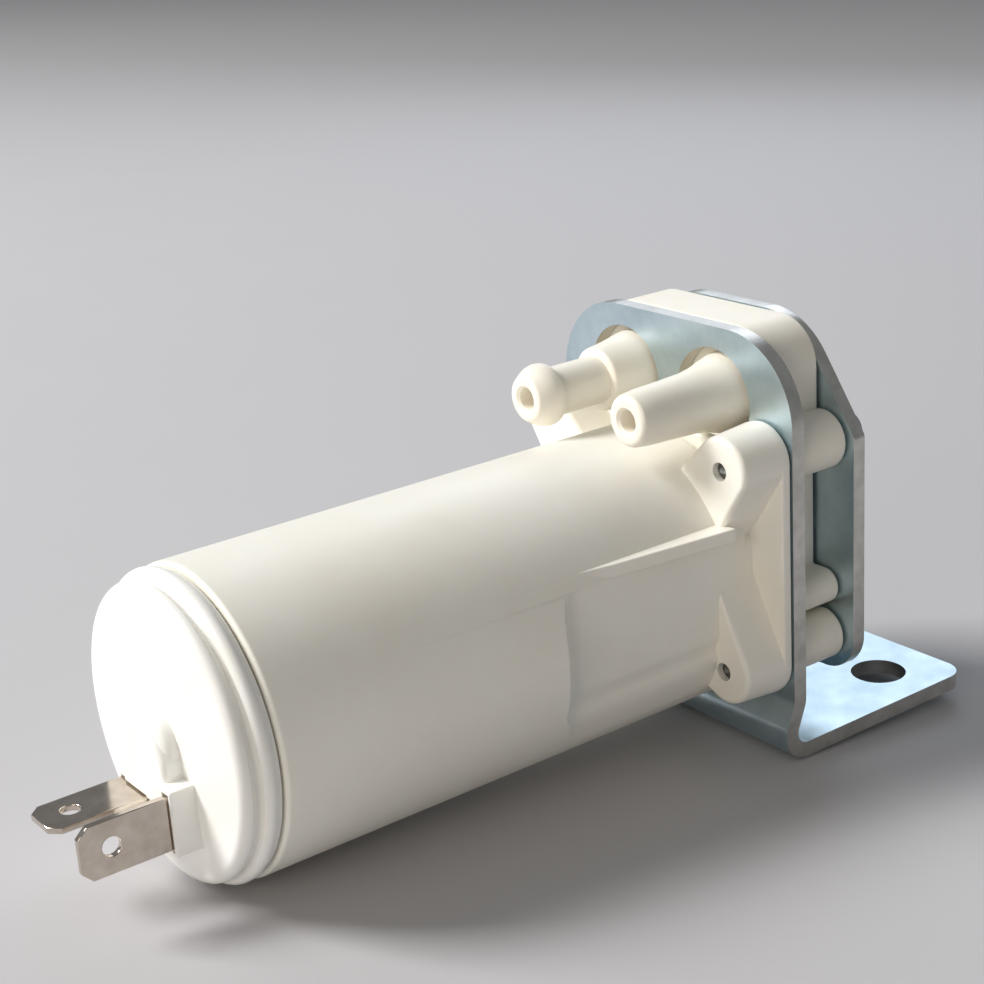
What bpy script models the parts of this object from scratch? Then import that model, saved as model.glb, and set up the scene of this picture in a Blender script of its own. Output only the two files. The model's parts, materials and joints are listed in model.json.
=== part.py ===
"""Small electric gear pump: a motor in a moulded housing, a pump between two steel plates, and its bracket.

Frame: metres, +Z up, X along the motor axis from the terminals to the plates. The origin is under the
middle of the whole, level with the bracket foot's underside. Sizes below are in millimetres from the
motor's datum, the end cap's face plane on the motor axis, and every part hangs from an empty there.
"""
import math

import bmesh
import bpy
from mathutils import Matrix, Vector

MM = 0.001
GAP = 0.3                    # running and seating clearance between neighbours
THROUGH = 2.0                # how far a cutter passes the face that it opens
ROUND = 52                   # facets of a full turn on the large round parts
FINE = 24                    # facets of a full turn on pins, holes and bosses
ARC_STEPS = 7                # facets of a rounded corner

# Motor housing
MOTOR_R = 18.0               # outer radius of the housing barrel
BORE_R = 14.6                # bore that holds the flux ring
BARREL_START = 4.4           # where the barrel meets the end cap
BARREL_END = 71.1            # shoulder in front of the flange
NECK_R = 16.6                # radius of the short neck behind the shoulder
BULKHEAD_START = 69.0        # floor of the bore
FLANGE_START = 72.3
FLANGE_T = 1.4
FLANGE_TOP_Z = 17.7          # top edge of the flange between the bosses
FLANGE_NOTCH_Y = 11.0        # half width of that edge

# Flats moulded into both sides of the barrel near the flange
FLAT_Y = 15.6                # distance of the flat from the motor axis
FLAT_START = 42.5
FLAT_TOP_Z = 8.1
FLAT_LOW_Z = -5.1
VALLEY_Y = 14.9              # deepest line of the hollow under the flat
VALLEY_Z = -6.5
FLANK_Y = 15.3               # the hollow runs out to the barrel below this point
FLANK_Z = -8.0
RUNOUT_Y = 12.5
RUNOUT_Z = -13.2

# Screws and the bosses and columns on their axes
SCREW_Y = 16.2
SCREW_TOP_Z = 16.5
SCREW_LOW_Z = -9.2
SCREW_R = 1.45
SCREW_HOLE_R = SCREW_R + GAP
PILOT_R = 1.15               # narrow mouth of each boss hole, round the screw's point
PILOT_DEPTH = 1.1
SCREW_TIP_INSET = 0.3        # the point ends this far inside the boss face
SCREW_POINT = 1.6            # length of the tapered point
TIP_R = 0.2
HEAD_R = 2.9
HEAD_T = 2.1
RECESS_ARM = 3.2             # cross recess in the head: length of an arm
RECESS_W = 0.8
RECESS_DEPTH = 1.2
BOSS_FACE = 66.6
BOSS_R = 4.2
CORNER_R = 4.6               # flange corner, round the same axis as the boss
COLUMN_R = 3.7               # columns of the pump body round the upper screws
LOW_COLUMN_R = 3.3           # and round the lower ones
WEB_T = 2.6                  # web from each lower column to the sump

# End cap
CAP_FACE_R = 15.8
CAP_RIM_R = 17.0
CAP_GROOVE_R = 16.4
CAP_RIDGE_R = 17.9
CAP_CROWN = 0.6              # how far the face stands out in front of the datum
CAP_FLOOR = 1.6
SPIGOT_R = BORE_R - GAP
SPIGOT_END = 8.0
SPIGOT_WALL = 1.8
HUB_WALL = 1.4

# Terminals: two 6.3 mm blades
BLADE_W = 6.3
BLADE_T = 0.8
BLADE_TIP = -13.85
BLADE_END = 7.0
BLADE_CHAMFER = 1.2
BLADE_HOLE_R = 1.1
BLADE_HOLE_X = -10.2
BLADE_Z = -6.95
NEAR_BLADE_Y = -5.9
FAR_BLADE_Y = 3.5
BLOCK_FACE = -3.5
BLOCK_MARGIN = 0.7           # wall of the block beside a blade
LEDGE_FACE = -5.2
LEDGE_TOP_Z = BLADE_Z - BLADE_T / 2 - GAP
BLOCK_LOW_Z = -10.8
PAD_FACE = -2.4
PAD_TOP_Z = 3.6
PAD_R = 4.2

# Shaft, bearings and armature
SHAFT_R = 1.5
SHAFT_START = 1.9
SHAFT_END = 82.3
REAR_BEARING_R = 3.9
REAR_BEARING_END = 4.6
FRONT_BEARING_R = 5.0
FRONT_BEARING_T = 2.4
RING_R = BORE_R - GAP        # flux ring
RING_WALL = 1.2
RING_START = 18.0
RING_END = 62.0
MAGNET_WALL = 2.6
MAGNET_START = 22.0
MAGNET_END = 54.0
MAGNET_ARC = 126.0
AIR_GAP = 0.6
CORE_START = 25.0
CORE_END = 50.0
CORE_HUB_R = 3.6
POLES = 5
POLE_SHOE = 1.3
POLE_NECK = 2.2
SLOT_OPENING = 20.0          # degrees between neighbouring pole shoes
WINDING_OVERHANG = 3.2
COMMUTATOR_R = 3.6
COMMUTATOR_START = 11.0
COMMUTATOR_END = 18.0
RISER_R = 4.4                # collar that the windings are joined to
RISER_T = 1.2
BRUSH_PLATE_START = 8.6
BRUSH_PLATE_T = 1.5
BOARD_HOLE_R = 4.8
BRUSH_W = 3.2
BRUSH_LENGTH = 4.4
ARM_T = 0.5
ARM_W = 4.4
ARM_TAIL = 3.0               # foot of the arm, along the brush plate

# Steel plates and bracket
PLATE_T = 2.0
FRONT_PLATE = 74.0           # motor side of the front plate
PLATE_SPACE = 8.4            # between the plates
PLATE_W = 41.6
PLATE_TOP_Z = 31.1
FRONT_CORNER_R = 10.7
BACK_CORNER_R = 10.8
BACK_SLOPE = 55.0            # degrees from level of the back plate's cut corner
BACK_KINK_Z = 17.3
BACK_KINK_R = 1.0
BACK_LOW_R = 4.9             # bottom corner, round the lower screw
SLANT_Z = -14.6              # where the bracket starts to slant towards the motor
SLANT = 2.6
FOOT_LOW_Z = -22.3           # underside of the foot, below the motor axis
FOOT_END = 106.0
FOOT_CORNER_R = 3.0
FOOT_HOLE_R = 3.6
FOOT_HOLE_X = 97.5
FOOT_HOLE_Y = 13.1
BEND_R = 2.6                 # at the middle of the sheet

# Pump
PORT_Y = 8.1
PORT_Z = 22.6
PORT_BORE_R = 1.4
PORT_HOLE_R = 6.4            # clearance hole in the front plate, a little off the port's axis
PORT_HOLE_SHIFT_Y = 0.7
PORT_HOLE_SHIFT_Z = -0.6
PORT_BASE_R = 5.2
BARB_TIP = 57.2
BARB_LENGTH = 3.6
BARB_R = 3.95
BARB_NOSE_R = 2.6
STEM_R = 3.1
STEM_END = 68.6
STEM_LIP_R = 4.1
SPIGOT_TIP = 59.5
SPIGOT_NOSE_R = 2.4
PLAIN_R = 3.45
PLAIN_FLARE = 70.5
PLAIN_FLARE_R = 3.9
NOSE_ROUND = 0.7
BODY_HALF_W = 14.5
BLOCK_HALF_W = 15.2
BLOCK_STEP_Z = 18.0
BLOCK_CORNER_R = 5.8
BODY_SHOULDER_Z = -4.9       # underside of the lugs
BODY_SUMP_R = 10.8
SHOULDER_FALL = 0.8          # how far each shoulder slopes down to what is under it
COVER_SHOULDER_Z = -2.0
LUG_REACH = 18.7
LUG_H = 4.5
HUB_R = 5.6
HUB_START = 72.6
SEAL_R = 4.2
SEAL_T = 2.4
CHAMBER_FLOOR = 2.0          # wall between the front plate and the gears
COVER_RECESS = 1.7
COVER_T = 0.8
GASKET_T = 0.4
COVER_HALF_W = 12.3
COVER_TOP_Z = 25.4
COVER_LOW_R = 8.4
CHANNEL_IN = 8.4             # inner wall of the riser, from the mid plane
CHANNEL_OUT = 11.4
CHANNEL_LOW_Z = 4.2
CHANNEL_TOP_Z = 24.5
CHANNEL_H = 3.7

# Gears: two equal spur gears
GEAR_TEETH = 12
GEAR_PITCH_R = 6.0
GEAR_TIP_R = 6.85
GEAR_ROOT_R = 4.75
PRESSURE_ANGLE = math.radians(25.0)
BACKLASH = 0.16              # taken off each flank at the pitch circle
IDLER_Z = 2 * GEAR_PITCH_R
CHAMBER_R = GEAR_TIP_R + GAP
PIN_R = 1.5
PIN_HOLE_FLOOR = 0.7

# Places that follow from the sizes above
FLANGE_END = FLANGE_START + FLANGE_T
PLATE_BACK = FRONT_PLATE + PLATE_T
BACK_PLATE = PLATE_BACK + PLATE_SPACE
BACK_PLATE_END = BACK_PLATE + PLATE_T
BODY_FRONT = PLATE_BACK + GAP
BODY_BACK = BACK_PLATE - GAP
CHAMBER_START = BODY_FRONT + CHAMBER_FLOOR
COVER_SEAT = BODY_BACK - COVER_RECESS
GEAR_START = CHAMBER_START + GAP
GEAR_END = COVER_SEAT - GAP
HALF_W = PLATE_W / 2
FOOT_START = FRONT_PLATE - SLANT
CORE_R = RING_R - RING_WALL - GAP - MAGNET_WALL - AIR_GAP
SCREW_PLACES = {
    "near_upper": (-SCREW_Y, SCREW_TOP_Z),
    "near_lower": (-SCREW_Y, SCREW_LOW_Z),
    "far_upper": (SCREW_Y, SCREW_TOP_Z),
    "far_lower": (SCREW_Y, SCREW_LOW_Z),
}

# Colours (linear RGB), roughness and metallic
NYLON = ((0.86, 0.82, 0.72), 0.42, 0.0)
CREAM = ((0.82, 0.72, 0.58), 0.45, 0.0)
ZINC = ((0.55, 0.66, 0.70), 0.32, 1.0)
TINNED = ((0.66, 0.62, 0.58), 0.28, 1.0)
STEEL = ((0.50, 0.50, 0.51), 0.35, 1.0)
LAMINATION = ((0.22, 0.22, 0.24), 0.5, 1.0)
COPPER = ((0.72, 0.32, 0.16), 0.35, 1.0)
BRONZE = ((0.52, 0.36, 0.18), 0.45, 1.0)
FERRITE = ((0.05, 0.05, 0.055), 0.7, 0.0)
CARBON = ((0.03, 0.03, 0.03), 0.6, 0.0)
RUBBER = ((0.02, 0.02, 0.02), 0.75, 0.0)
ACETAL = ((0.78, 0.78, 0.76), 0.4, 0.0)
PHENOLIC = ((0.30, 0.16, 0.07), 0.55, 0.0)


def clear_scene():
    """Remove whatever the scene starts with."""
    for item in list(bpy.data.objects):
        bpy.data.objects.remove(item, do_unlink=True)


def new_collection(name):
    """Add a collection to the scene and return it."""
    collection = bpy.data.collections.new(name)
    bpy.context.scene.collection.children.link(collection)
    return collection


clear_scene()
PARTS = new_collection("mini_pump")
CUTTERS = new_collection("cutters")


def add_empty(name, x=0.0, y=0.0, z=0.0, parent=None):
    """Add an empty at a place given in millimetres in its parent's frame."""
    empty = bpy.data.objects.new(name, None)
    empty.location = Vector((x, y, z)) * MM
    empty.parent = parent
    PARTS.objects.link(empty)
    return empty


DATUM = add_empty("pump_datum", x=-(BLADE_TIP + FOOT_END) / 2, z=-FOOT_LOW_Z)
ROTOR = add_empty("rotor_axis", parent=DATUM)
IDLER = add_empty("idler_axis", z=IDLER_Z, parent=DATUM)


def make_material(name, finish):
    """Return a Principled material from a colour, a roughness and a metallic value."""
    colour, roughness, metallic = finish
    material = bpy.data.materials.new(name)
    material.use_nodes = True
    shader = material.node_tree.nodes["Principled BSDF"]
    shader.inputs["Base Color"].default_value = (*colour, 1.0)
    shader.inputs["Roughness"].default_value = roughness
    shader.inputs["Metallic"].default_value = metallic
    return material


def place(item, finish, parent=None):
    """Make an object a part of the pump, or a cutter where it has no finish."""
    item.parent = parent or DATUM
    if finish is None:
        CUTTERS.objects.link(item)
        item.hide_render = True
        item.display_type = "WIRE"
        return item
    PARTS.objects.link(item)
    item.data.materials.append(make_material(item.name, finish))
    item.data.shade_smooth()
    item.data.set_sharp_from_angle(angle=math.radians(30))
    return item


AXIS_TURN = {
    "X": Matrix(((0, 0, 1), (1, 0, 0), (0, 1, 0))),
    "Y": Matrix(((1, 0, 0), (0, 0, -1), (0, 1, 0))),
    "Z": Matrix.Identity(3),
}


def add_flat(name, loops, low, high, finish=None, axis="X", parent=None):
    """Extrude a flat outline from low to high along an axis.

    The first loop is the outline and the others are holes. Points are (y, z) for axis X, (x, z) for
    axis Y and (x, y) for axis Z. On axis Y the piece runs from -high to -low.
    """
    curve = bpy.data.curves.new(name + "_outline", "CURVE")
    curve.dimensions = "2D"
    curve.fill_mode = "BOTH"
    curve.extrude = (high - low) / 2 * MM
    for points in loops:
        spline = curve.splines.new("POLY")
        spline.points.add(len(points) - 1)
        for point, (u, v) in zip(spline.points, points):
            point.co = (u * MM, v * MM, 0.0, 1.0)
        spline.use_cyclic_u = True
    drawn = bpy.data.objects.new(name + "_outline", curve)
    bpy.context.scene.collection.objects.link(drawn)
    graph = bpy.context.evaluated_depsgraph_get()
    mesh = bpy.data.meshes.new_from_object(drawn.evaluated_get(graph))
    bpy.data.objects.remove(drawn, do_unlink=True)
    mesh.name = name
    weld(mesh)
    item = bpy.data.objects.new(name, mesh)
    turn = AXIS_TURN[axis].to_4x4()
    item.matrix_basis = turn @ Matrix.Translation((0, 0, (low + high) / 2 * MM))
    return place(item, finish, parent)


def weld(mesh):
    """Join the loose caps of a mesh made from a curve, make each cap one face and point all faces out."""
    work = bmesh.new()
    work.from_mesh(mesh)
    bmesh.ops.remove_doubles(work, verts=work.verts, dist=1e-6)
    bmesh.ops.dissolve_limit(work, angle_limit=math.radians(0.5), verts=work.verts, edges=work.edges)
    bmesh.ops.recalc_face_normals(work, faces=work.faces)
    work.to_mesh(mesh)
    work.free()


def add_turned(name, profile, finish=None, ring=False, parent=None, y=0.0, z=0.0, facets=ROUND):
    """Turn a profile of (radius, x) points round an axis along X.

    The profile runs down its outer side, from high x to low x. A ring's profile closes on itself.
    """
    mesh = bpy.data.meshes.new(name)
    edges = [(i, i + 1) for i in range(len(profile) - 1)]
    if ring:
        edges.append((len(profile) - 1, 0))
    mesh.from_pydata([(radius * MM, 0.0, x * MM) for radius, x in profile], edges, [])
    item = bpy.data.objects.new(name, mesh)
    item.rotation_euler = (0.0, math.pi / 2, 0.0)
    item.location = (0.0, y * MM, z * MM)
    screw = item.modifiers.new("turn", "SCREW")
    screw.axis = "Z"
    screw.steps = facets
    screw.render_steps = facets
    screw.use_merge_vertices = True
    screw.merge_threshold = 0.00001
    return place(item, finish, parent)


def add_rod(name, radius, low, high, finish=None, y=0.0, z=0.0, axis="X", x=0.0, facets=FINE, parent=None):
    """Add a plain cylinder from low to high along an axis."""
    mesh = bpy.data.meshes.new(name)
    work = bmesh.new()
    bmesh.ops.create_cone(work, cap_ends=True, segments=facets, radius1=radius * MM, radius2=radius * MM,
                          depth=(high - low) * MM)
    work.to_mesh(mesh)
    work.free()
    item = bpy.data.objects.new(name, mesh)
    middle = (low + high) / 2
    centre = Vector((middle, y, z)) if axis == "X" else Vector((x, y, middle))
    turn = Matrix.Rotation(math.pi / 2, 4, "Y") if axis == "X" else Matrix.Identity(4)
    item.matrix_basis = Matrix.Translation(centre * MM) @ turn
    return place(item, finish, parent)


def add_box(name, x, y, z, finish=None, parent=None):
    """Add a box from its three (low, high) ranges."""
    mesh = bpy.data.meshes.new(name)
    work = bmesh.new()
    size = Vector((x[1] - x[0], y[1] - y[0], z[1] - z[0])) * MM
    bmesh.ops.create_cube(work, size=1.0, matrix=Matrix.Diagonal((*size, 1.0)))
    work.to_mesh(mesh)
    work.free()
    item = bpy.data.objects.new(name, mesh)
    item.location = Vector((sum(x), sum(y), sum(z))) / 2 * MM
    return place(item, finish, parent)


def combine(item, tool, operation):
    """Join, cut or intersect an object with a cutter."""
    step = item.modifiers.new(tool.name, "BOOLEAN")
    step.operation = operation
    step.object = tool
    return item


def cut(item, *tools):
    """Cut an object with each cutter."""
    for tool in tools:
        combine(item, tool, "DIFFERENCE")
    return item


def join(item, *tools):
    """Join each tool's shape to an object."""
    for tool in tools:
        combine(item, tool, "UNION")
    return item


def arc(centre, radius, start, end, count=ARC_STEPS):
    """Points on an arc, in degrees from the first axis."""
    angles = [math.radians(start + (end - start) * i / count) for i in range(count + 1)]
    return [(centre[0] + radius * math.cos(a), centre[1] + radius * math.sin(a)) for a in angles]


def circle(centre, radius, facets=FINE):
    """Points on a full circle."""
    return arc(centre, radius, 0.0, 360.0, facets)[:-1]


def rounded(corners, count=ARC_STEPS):
    """Outline or path through (point, radius) corners, with each corner rounded by its radius."""
    points = []
    for i, (corner, radius) in enumerate(corners):
        here = Vector(corner)
        if radius == 0:
            points.append(tuple(here))
            continue
        before = (Vector(corners[i - 1][0]) - here).normalized()
        after = (Vector(corners[(i + 1) % len(corners)][0]) - here).normalized()
        half = before.angle(after) / 2
        middle = here + (before + after).normalized() * radius / math.sin(half)
        first = here + before * radius / math.tan(half) - middle
        turn = first.angle_signed(here + after * radius / math.tan(half) - middle)
        for k in range(count + 1):
            swing = Matrix.Rotation(-turn * k / count, 2)
            points.append(tuple(middle + swing @ first))
    return points


def mirrored(points):
    """The same outline on the other side of the mid plane."""
    return [(-y, z) for y, z in reversed(points)]


def screw_holes(name, low, high):
    """Cutters for the four screw holes between two places on X."""
    return [add_rod(f"{name}_{spot}", SCREW_HOLE_R, low, high, y=y, z=z)
            for spot, (y, z) in SCREW_PLACES.items()]


# Housing ---------------------------------------------------------------------------------------------

def flat_cutters():
    """Cutters for the flats and the hollows under them, one for each side."""
    clear_y = MOTOR_R + THROUGH
    near = [(-FLAT_Y, FLAT_TOP_Z), (-FLAT_Y, FLAT_LOW_Z), (-VALLEY_Y, VALLEY_Z), (-FLANK_Y, FLANK_Z),
            (-RUNOUT_Y, RUNOUT_Z), (-clear_y, RUNOUT_Z), (-clear_y, FLAT_TOP_Z)]
    return [add_flat("flat_near", [near], FLAT_START, FLANGE_START),
            add_flat("flat_far", [mirrored(near)], FLAT_START, FLANGE_START)]


def upper_boss():
    """Outline of the near upper boss: a round end with a web that runs in to the barrel."""
    centre = Vector((-SCREW_Y, SCREW_TOP_Z))
    inward = -centre.normalized()
    lean = math.degrees(math.atan2(inward.y, inward.x))
    reach = centre.length - BORE_R - BOSS_R / 2
    top_in = Vector(arc(centre, BOSS_R, lean + 90, lean + 90, 1)[0]) + inward * reach
    low_in = Vector((-FLAT_Y + GAP, FLAT_TOP_Z - GAP))
    core = Vector((-FLAT_Y * 0.65, FLAT_TOP_Z - GAP))
    return arc(centre, BOSS_R, lean + 90, lean + 270 - 25, 9) + [tuple(low_in), tuple(core), tuple(top_in)]


def lower_boss():
    """Outline of the near lower boss: a round end with a web that climbs the flat."""
    centre = (-SCREW_Y, SCREW_LOW_Z)
    web_top = 3.0
    inner = -BORE_R + BOSS_R / 2
    return arc(centre, BOSS_R, 157.0, 290.0, 9) + [(inner, SCREW_LOW_Z - BOSS_R * 0.7), (inner, web_top),
                                                    (-FLAT_Y + 0.9, web_top)]


def flange_outline():
    """Outline of the flange, with a low edge between its upper corners."""
    right = arc((SCREW_Y, SCREW_LOW_Z), CORNER_R, -90.0, 0.0)
    right += arc((SCREW_Y, SCREW_TOP_Z), CORNER_R, 0.0, 150.0, 2 * ARC_STEPS)
    right += [(FLANGE_NOTCH_Y, FLANGE_TOP_Z)]
    return right + mirrored(right)


def build_housing():
    """Housing: barrel, flats, flange, four bosses, bore, bulkhead and screw holes."""
    barrel = add_turned("motor_housing", [
        (0.0, FLANGE_START + FLANGE_T / 2), (NECK_R, FLANGE_START + FLANGE_T / 2), (NECK_R, BARREL_END),
        (MOTOR_R, BARREL_END), (MOTOR_R, BARREL_START), (0.0, BARREL_START)], NYLON)
    cut(barrel, *flat_cutters())
    join(barrel, add_flat("flange", [flange_outline()], FLANGE_START, FLANGE_END))
    for name, outline in (("upper", upper_boss()), ("lower", lower_boss())):
        for side, points in (("near", outline), ("far", mirrored(outline))):
            join(barrel, add_flat(f"boss_{side}_{name}", [points], BOSS_FACE, FLANGE_START + FLANGE_T / 2))
    cut(barrel, add_rod("bore", BORE_R, BARREL_START - THROUGH, BULKHEAD_START, facets=ROUND))
    cut(barrel, add_rod("bearing_seat", FRONT_BEARING_R + GAP, BULKHEAD_START - THROUGH,
                        BULKHEAD_START + FRONT_BEARING_T + GAP))
    cut(barrel, add_rod("hub_clearance", HUB_R + 2 * GAP, HUB_START - GAP, FLANGE_END + THROUGH))
    cut(barrel, add_rod("shaft_clearance", SHAFT_R + 2 * GAP, BULKHEAD_START, FLANGE_END + THROUGH))
    cut(barrel, *screw_holes("housing_screw", BOSS_FACE + PILOT_DEPTH, FLANGE_END + THROUGH))
    for spot, (y, z) in SCREW_PLACES.items():
        cut(barrel, add_rod(f"pilot_{spot}", PILOT_R, BOSS_FACE - THROUGH, FLANGE_START, y=y, z=z))


def cap_profile():
    """Profile of the end cap: spigot, ridge, groove and rounded rim, from the inside floor outwards."""
    hub_r = REAR_BEARING_R + GAP
    rim_centre = (CAP_RIM_R - 1.2, 0.6)
    ridge_centre = (CAP_RIDGE_R - 0.9, BARREL_START - GAP - 1.3)
    rim = arc(rim_centre, 1.2, 0.0, -90.0, 3)
    ridge = arc(ridge_centre, 0.9, 60.0, -70.0, 3)
    return [(0.0, CAP_FLOOR), (hub_r, CAP_FLOOR), (hub_r, REAR_BEARING_END + GAP),
            (hub_r + HUB_WALL, REAR_BEARING_END + GAP), (hub_r + HUB_WALL, CAP_FLOOR),
            (SPIGOT_R - SPIGOT_WALL, CAP_FLOOR), (SPIGOT_R - SPIGOT_WALL, SPIGOT_END), (SPIGOT_R, SPIGOT_END),
            (SPIGOT_R, BARREL_START - GAP), (MOTOR_R - GAP, BARREL_START - GAP)] + ridge + [
            (CAP_GROOVE_R, 1.9), (CAP_GROOVE_R + 0.2, 1.4)] + rim + [
            (CAP_FACE_R * 0.6, -CAP_CROWN), (0.0, -CAP_CROWN)]


def build_cap():
    """End cap with its terminal block and the slots that hold the blades."""
    cap = add_turned("end_cap", cap_profile(), NYLON)
    inside = CAP_FLOOR - GAP
    half = BLADE_W / 2 + BLOCK_MARGIN
    near_low = NEAR_BLADE_Y - BLADE_T / 2 - BLOCK_MARGIN
    far_high = FAR_BLADE_Y + half
    step_y = NEAR_BLADE_Y + BLADE_T / 2 + 2 * BLOCK_MARGIN + GAP
    join(cap, add_box("block_near", (BLOCK_FACE, inside), (near_low, step_y), (BLOCK_LOW_Z, BLADE_Z + half)))
    join(cap, add_box("block_ledge", (LEDGE_FACE, inside), (step_y - GAP, far_high),
                      (BLOCK_LOW_Z, LEDGE_TOP_Z)))
    join(cap, add_box("block_back", (PAD_FACE, inside), (step_y - 2 * GAP, far_high - BLOCK_MARGIN / 2),
                      (LEDGE_TOP_Z - GAP, BLADE_Z + 2 * BLADE_T + BLOCK_MARGIN)))
    pad_y = (near_low + far_high) / 2
    pad = arc((pad_y, PAD_TOP_Z - PAD_R), PAD_R, 0.0, 180.0, 12)
    pad += [(pad_y - PAD_R, BLADE_Z), (pad_y + PAD_R, BLADE_Z)]
    join(cap, add_flat("block_pad", [pad], PAD_FACE + 2 * GAP, inside))
    slot = BLADE_W / 2 + GAP
    thick = BLADE_T / 2 + GAP
    span = (LEDGE_FACE - THROUGH, CAP_FLOOR + THROUGH)
    cut(cap, add_box("slot_near", span, (NEAR_BLADE_Y - thick, NEAR_BLADE_Y + thick),
                     (BLADE_Z - slot, BLADE_Z + slot)))
    cut(cap, add_box("slot_far", span, (FAR_BLADE_Y - slot, FAR_BLADE_Y + slot),
                     (BLADE_Z - thick, BLADE_Z + thick)))


def build_blades():
    """The two terminal blades: one stands on edge, the other lies flat."""
    half = BLADE_W / 2
    start = BLADE_TIP + BLADE_CHAMFER
    outline = [(BLADE_TIP, -half + BLADE_CHAMFER), (start, -half), (BLADE_END, -half),
               (BLADE_END, half), (start, half), (BLADE_TIP, half - BLADE_CHAMFER)]
    hole = circle((BLADE_HOLE_X, 0.0), BLADE_HOLE_R, 20)

    def moved(points, offset):
        return [(x, across + offset) for x, across in points]

    add_flat("terminal_blade_near", [moved(outline, BLADE_Z), moved(hole, BLADE_Z)],
             -NEAR_BLADE_Y - BLADE_T / 2, -NEAR_BLADE_Y + BLADE_T / 2, TINNED, axis="Y")
    add_flat("terminal_blade_far", [moved(outline, FAR_BLADE_Y), moved(hole, FAR_BLADE_Y)],
             BLADE_Z - BLADE_T / 2, BLADE_Z + BLADE_T / 2, TINNED, axis="Z")


# Motor -----------------------------------------------------------------------------------------------

def add_bush(name, outer, inner, low, high, finish, parent=None, facets=FINE):
    """Add a plain ring along X."""
    profile = [(outer, high), (outer, low), (inner, low), (inner, high)]
    add_turned(name, profile, finish, ring=True, parent=parent, facets=facets)


def build_stator():
    """Flux ring, magnets, bearings, brush plate, brushes and their spring arms."""
    bush_r = SHAFT_R + GAP
    add_bush("flux_ring", RING_R, RING_R - RING_WALL, RING_START, RING_END, STEEL, facets=ROUND)
    magnet_r = RING_R - RING_WALL - GAP
    for name, middle in (("magnet_upper", 90.0), ("magnet_lower", 270.0)):
        half = MAGNET_ARC / 2
        sector = arc((0, 0), magnet_r, middle - half, middle + half, 20)
        sector += arc((0, 0), magnet_r - MAGNET_WALL, middle + half, middle - half, 20)
        add_flat(name, [sector], MAGNET_START, MAGNET_END, FERRITE)
    add_bush("rear_bearing", REAR_BEARING_R, bush_r, CAP_FLOOR + GAP, REAR_BEARING_END, BRONZE)
    front = BULKHEAD_START + GAP
    add_bush("front_bearing", FRONT_BEARING_R, bush_r, front, front + FRONT_BEARING_T - GAP, BRONZE)
    board_end = BRUSH_PLATE_START + BRUSH_PLATE_T
    add_bush("brush_plate", SPIGOT_R, BOARD_HOLE_R, BRUSH_PLATE_START, board_end, PHENOLIC, facets=ROUND)
    brush_x = (COMMUTATOR_START + COMMUTATOR_END) / 2
    span_x = (brush_x - BRUSH_W / 2, brush_x + BRUSH_W / 2)
    inner = COMMUTATOR_R + GAP
    outer = inner + BRUSH_LENGTH
    arm_start = board_end + GAP
    for side, sign in (("near", -1), ("far", 1)):
        reach = sorted((sign * inner, sign * outer))
        add_box(f"brush_{side}", span_x, reach, (-BRUSH_W / 2, BRUSH_W / 2), CARBON)
        back = outer + GAP
        tail = back + ARM_TAIL
        end = span_x[1] + GAP
        path = [(tail, arm_start), (back, arm_start), (back, end), (back + ARM_T, end),
                (back + ARM_T, arm_start + ARM_T), (tail, arm_start + ARM_T)]
        outline = [(x, sign * y) for y, x in path]
        add_flat(f"brush_arm_{side}", [outline], -ARM_W / 2, ARM_W / 2, BRONZE, axis="Z")


def core_outline():
    """Lamination outline: a hub with one T-shaped pole for each slot."""
    points = []
    step = 360.0 / POLES
    half = (step - SLOT_OPENING) / 2
    neck = math.degrees(math.asin(POLE_NECK / 2 / CORE_HUB_R))
    shoe = math.degrees(math.asin(POLE_NECK / 2 / (CORE_R - POLE_SHOE)))
    for i in range(POLES):
        middle = i * step
        points += arc((0, 0), CORE_HUB_R, middle - neck, middle - neck, 1)[:1]
        points += arc((0, 0), CORE_R - POLE_SHOE, middle - shoe, middle - half, 3)
        points += arc((0, 0), CORE_R, middle - half, middle + half, 8)
        points += arc((0, 0), CORE_R - POLE_SHOE, middle + half, middle + shoe, 3)
        points += arc((0, 0), CORE_HUB_R, middle + neck, middle + neck, 1)[:1]
    return points


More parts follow.
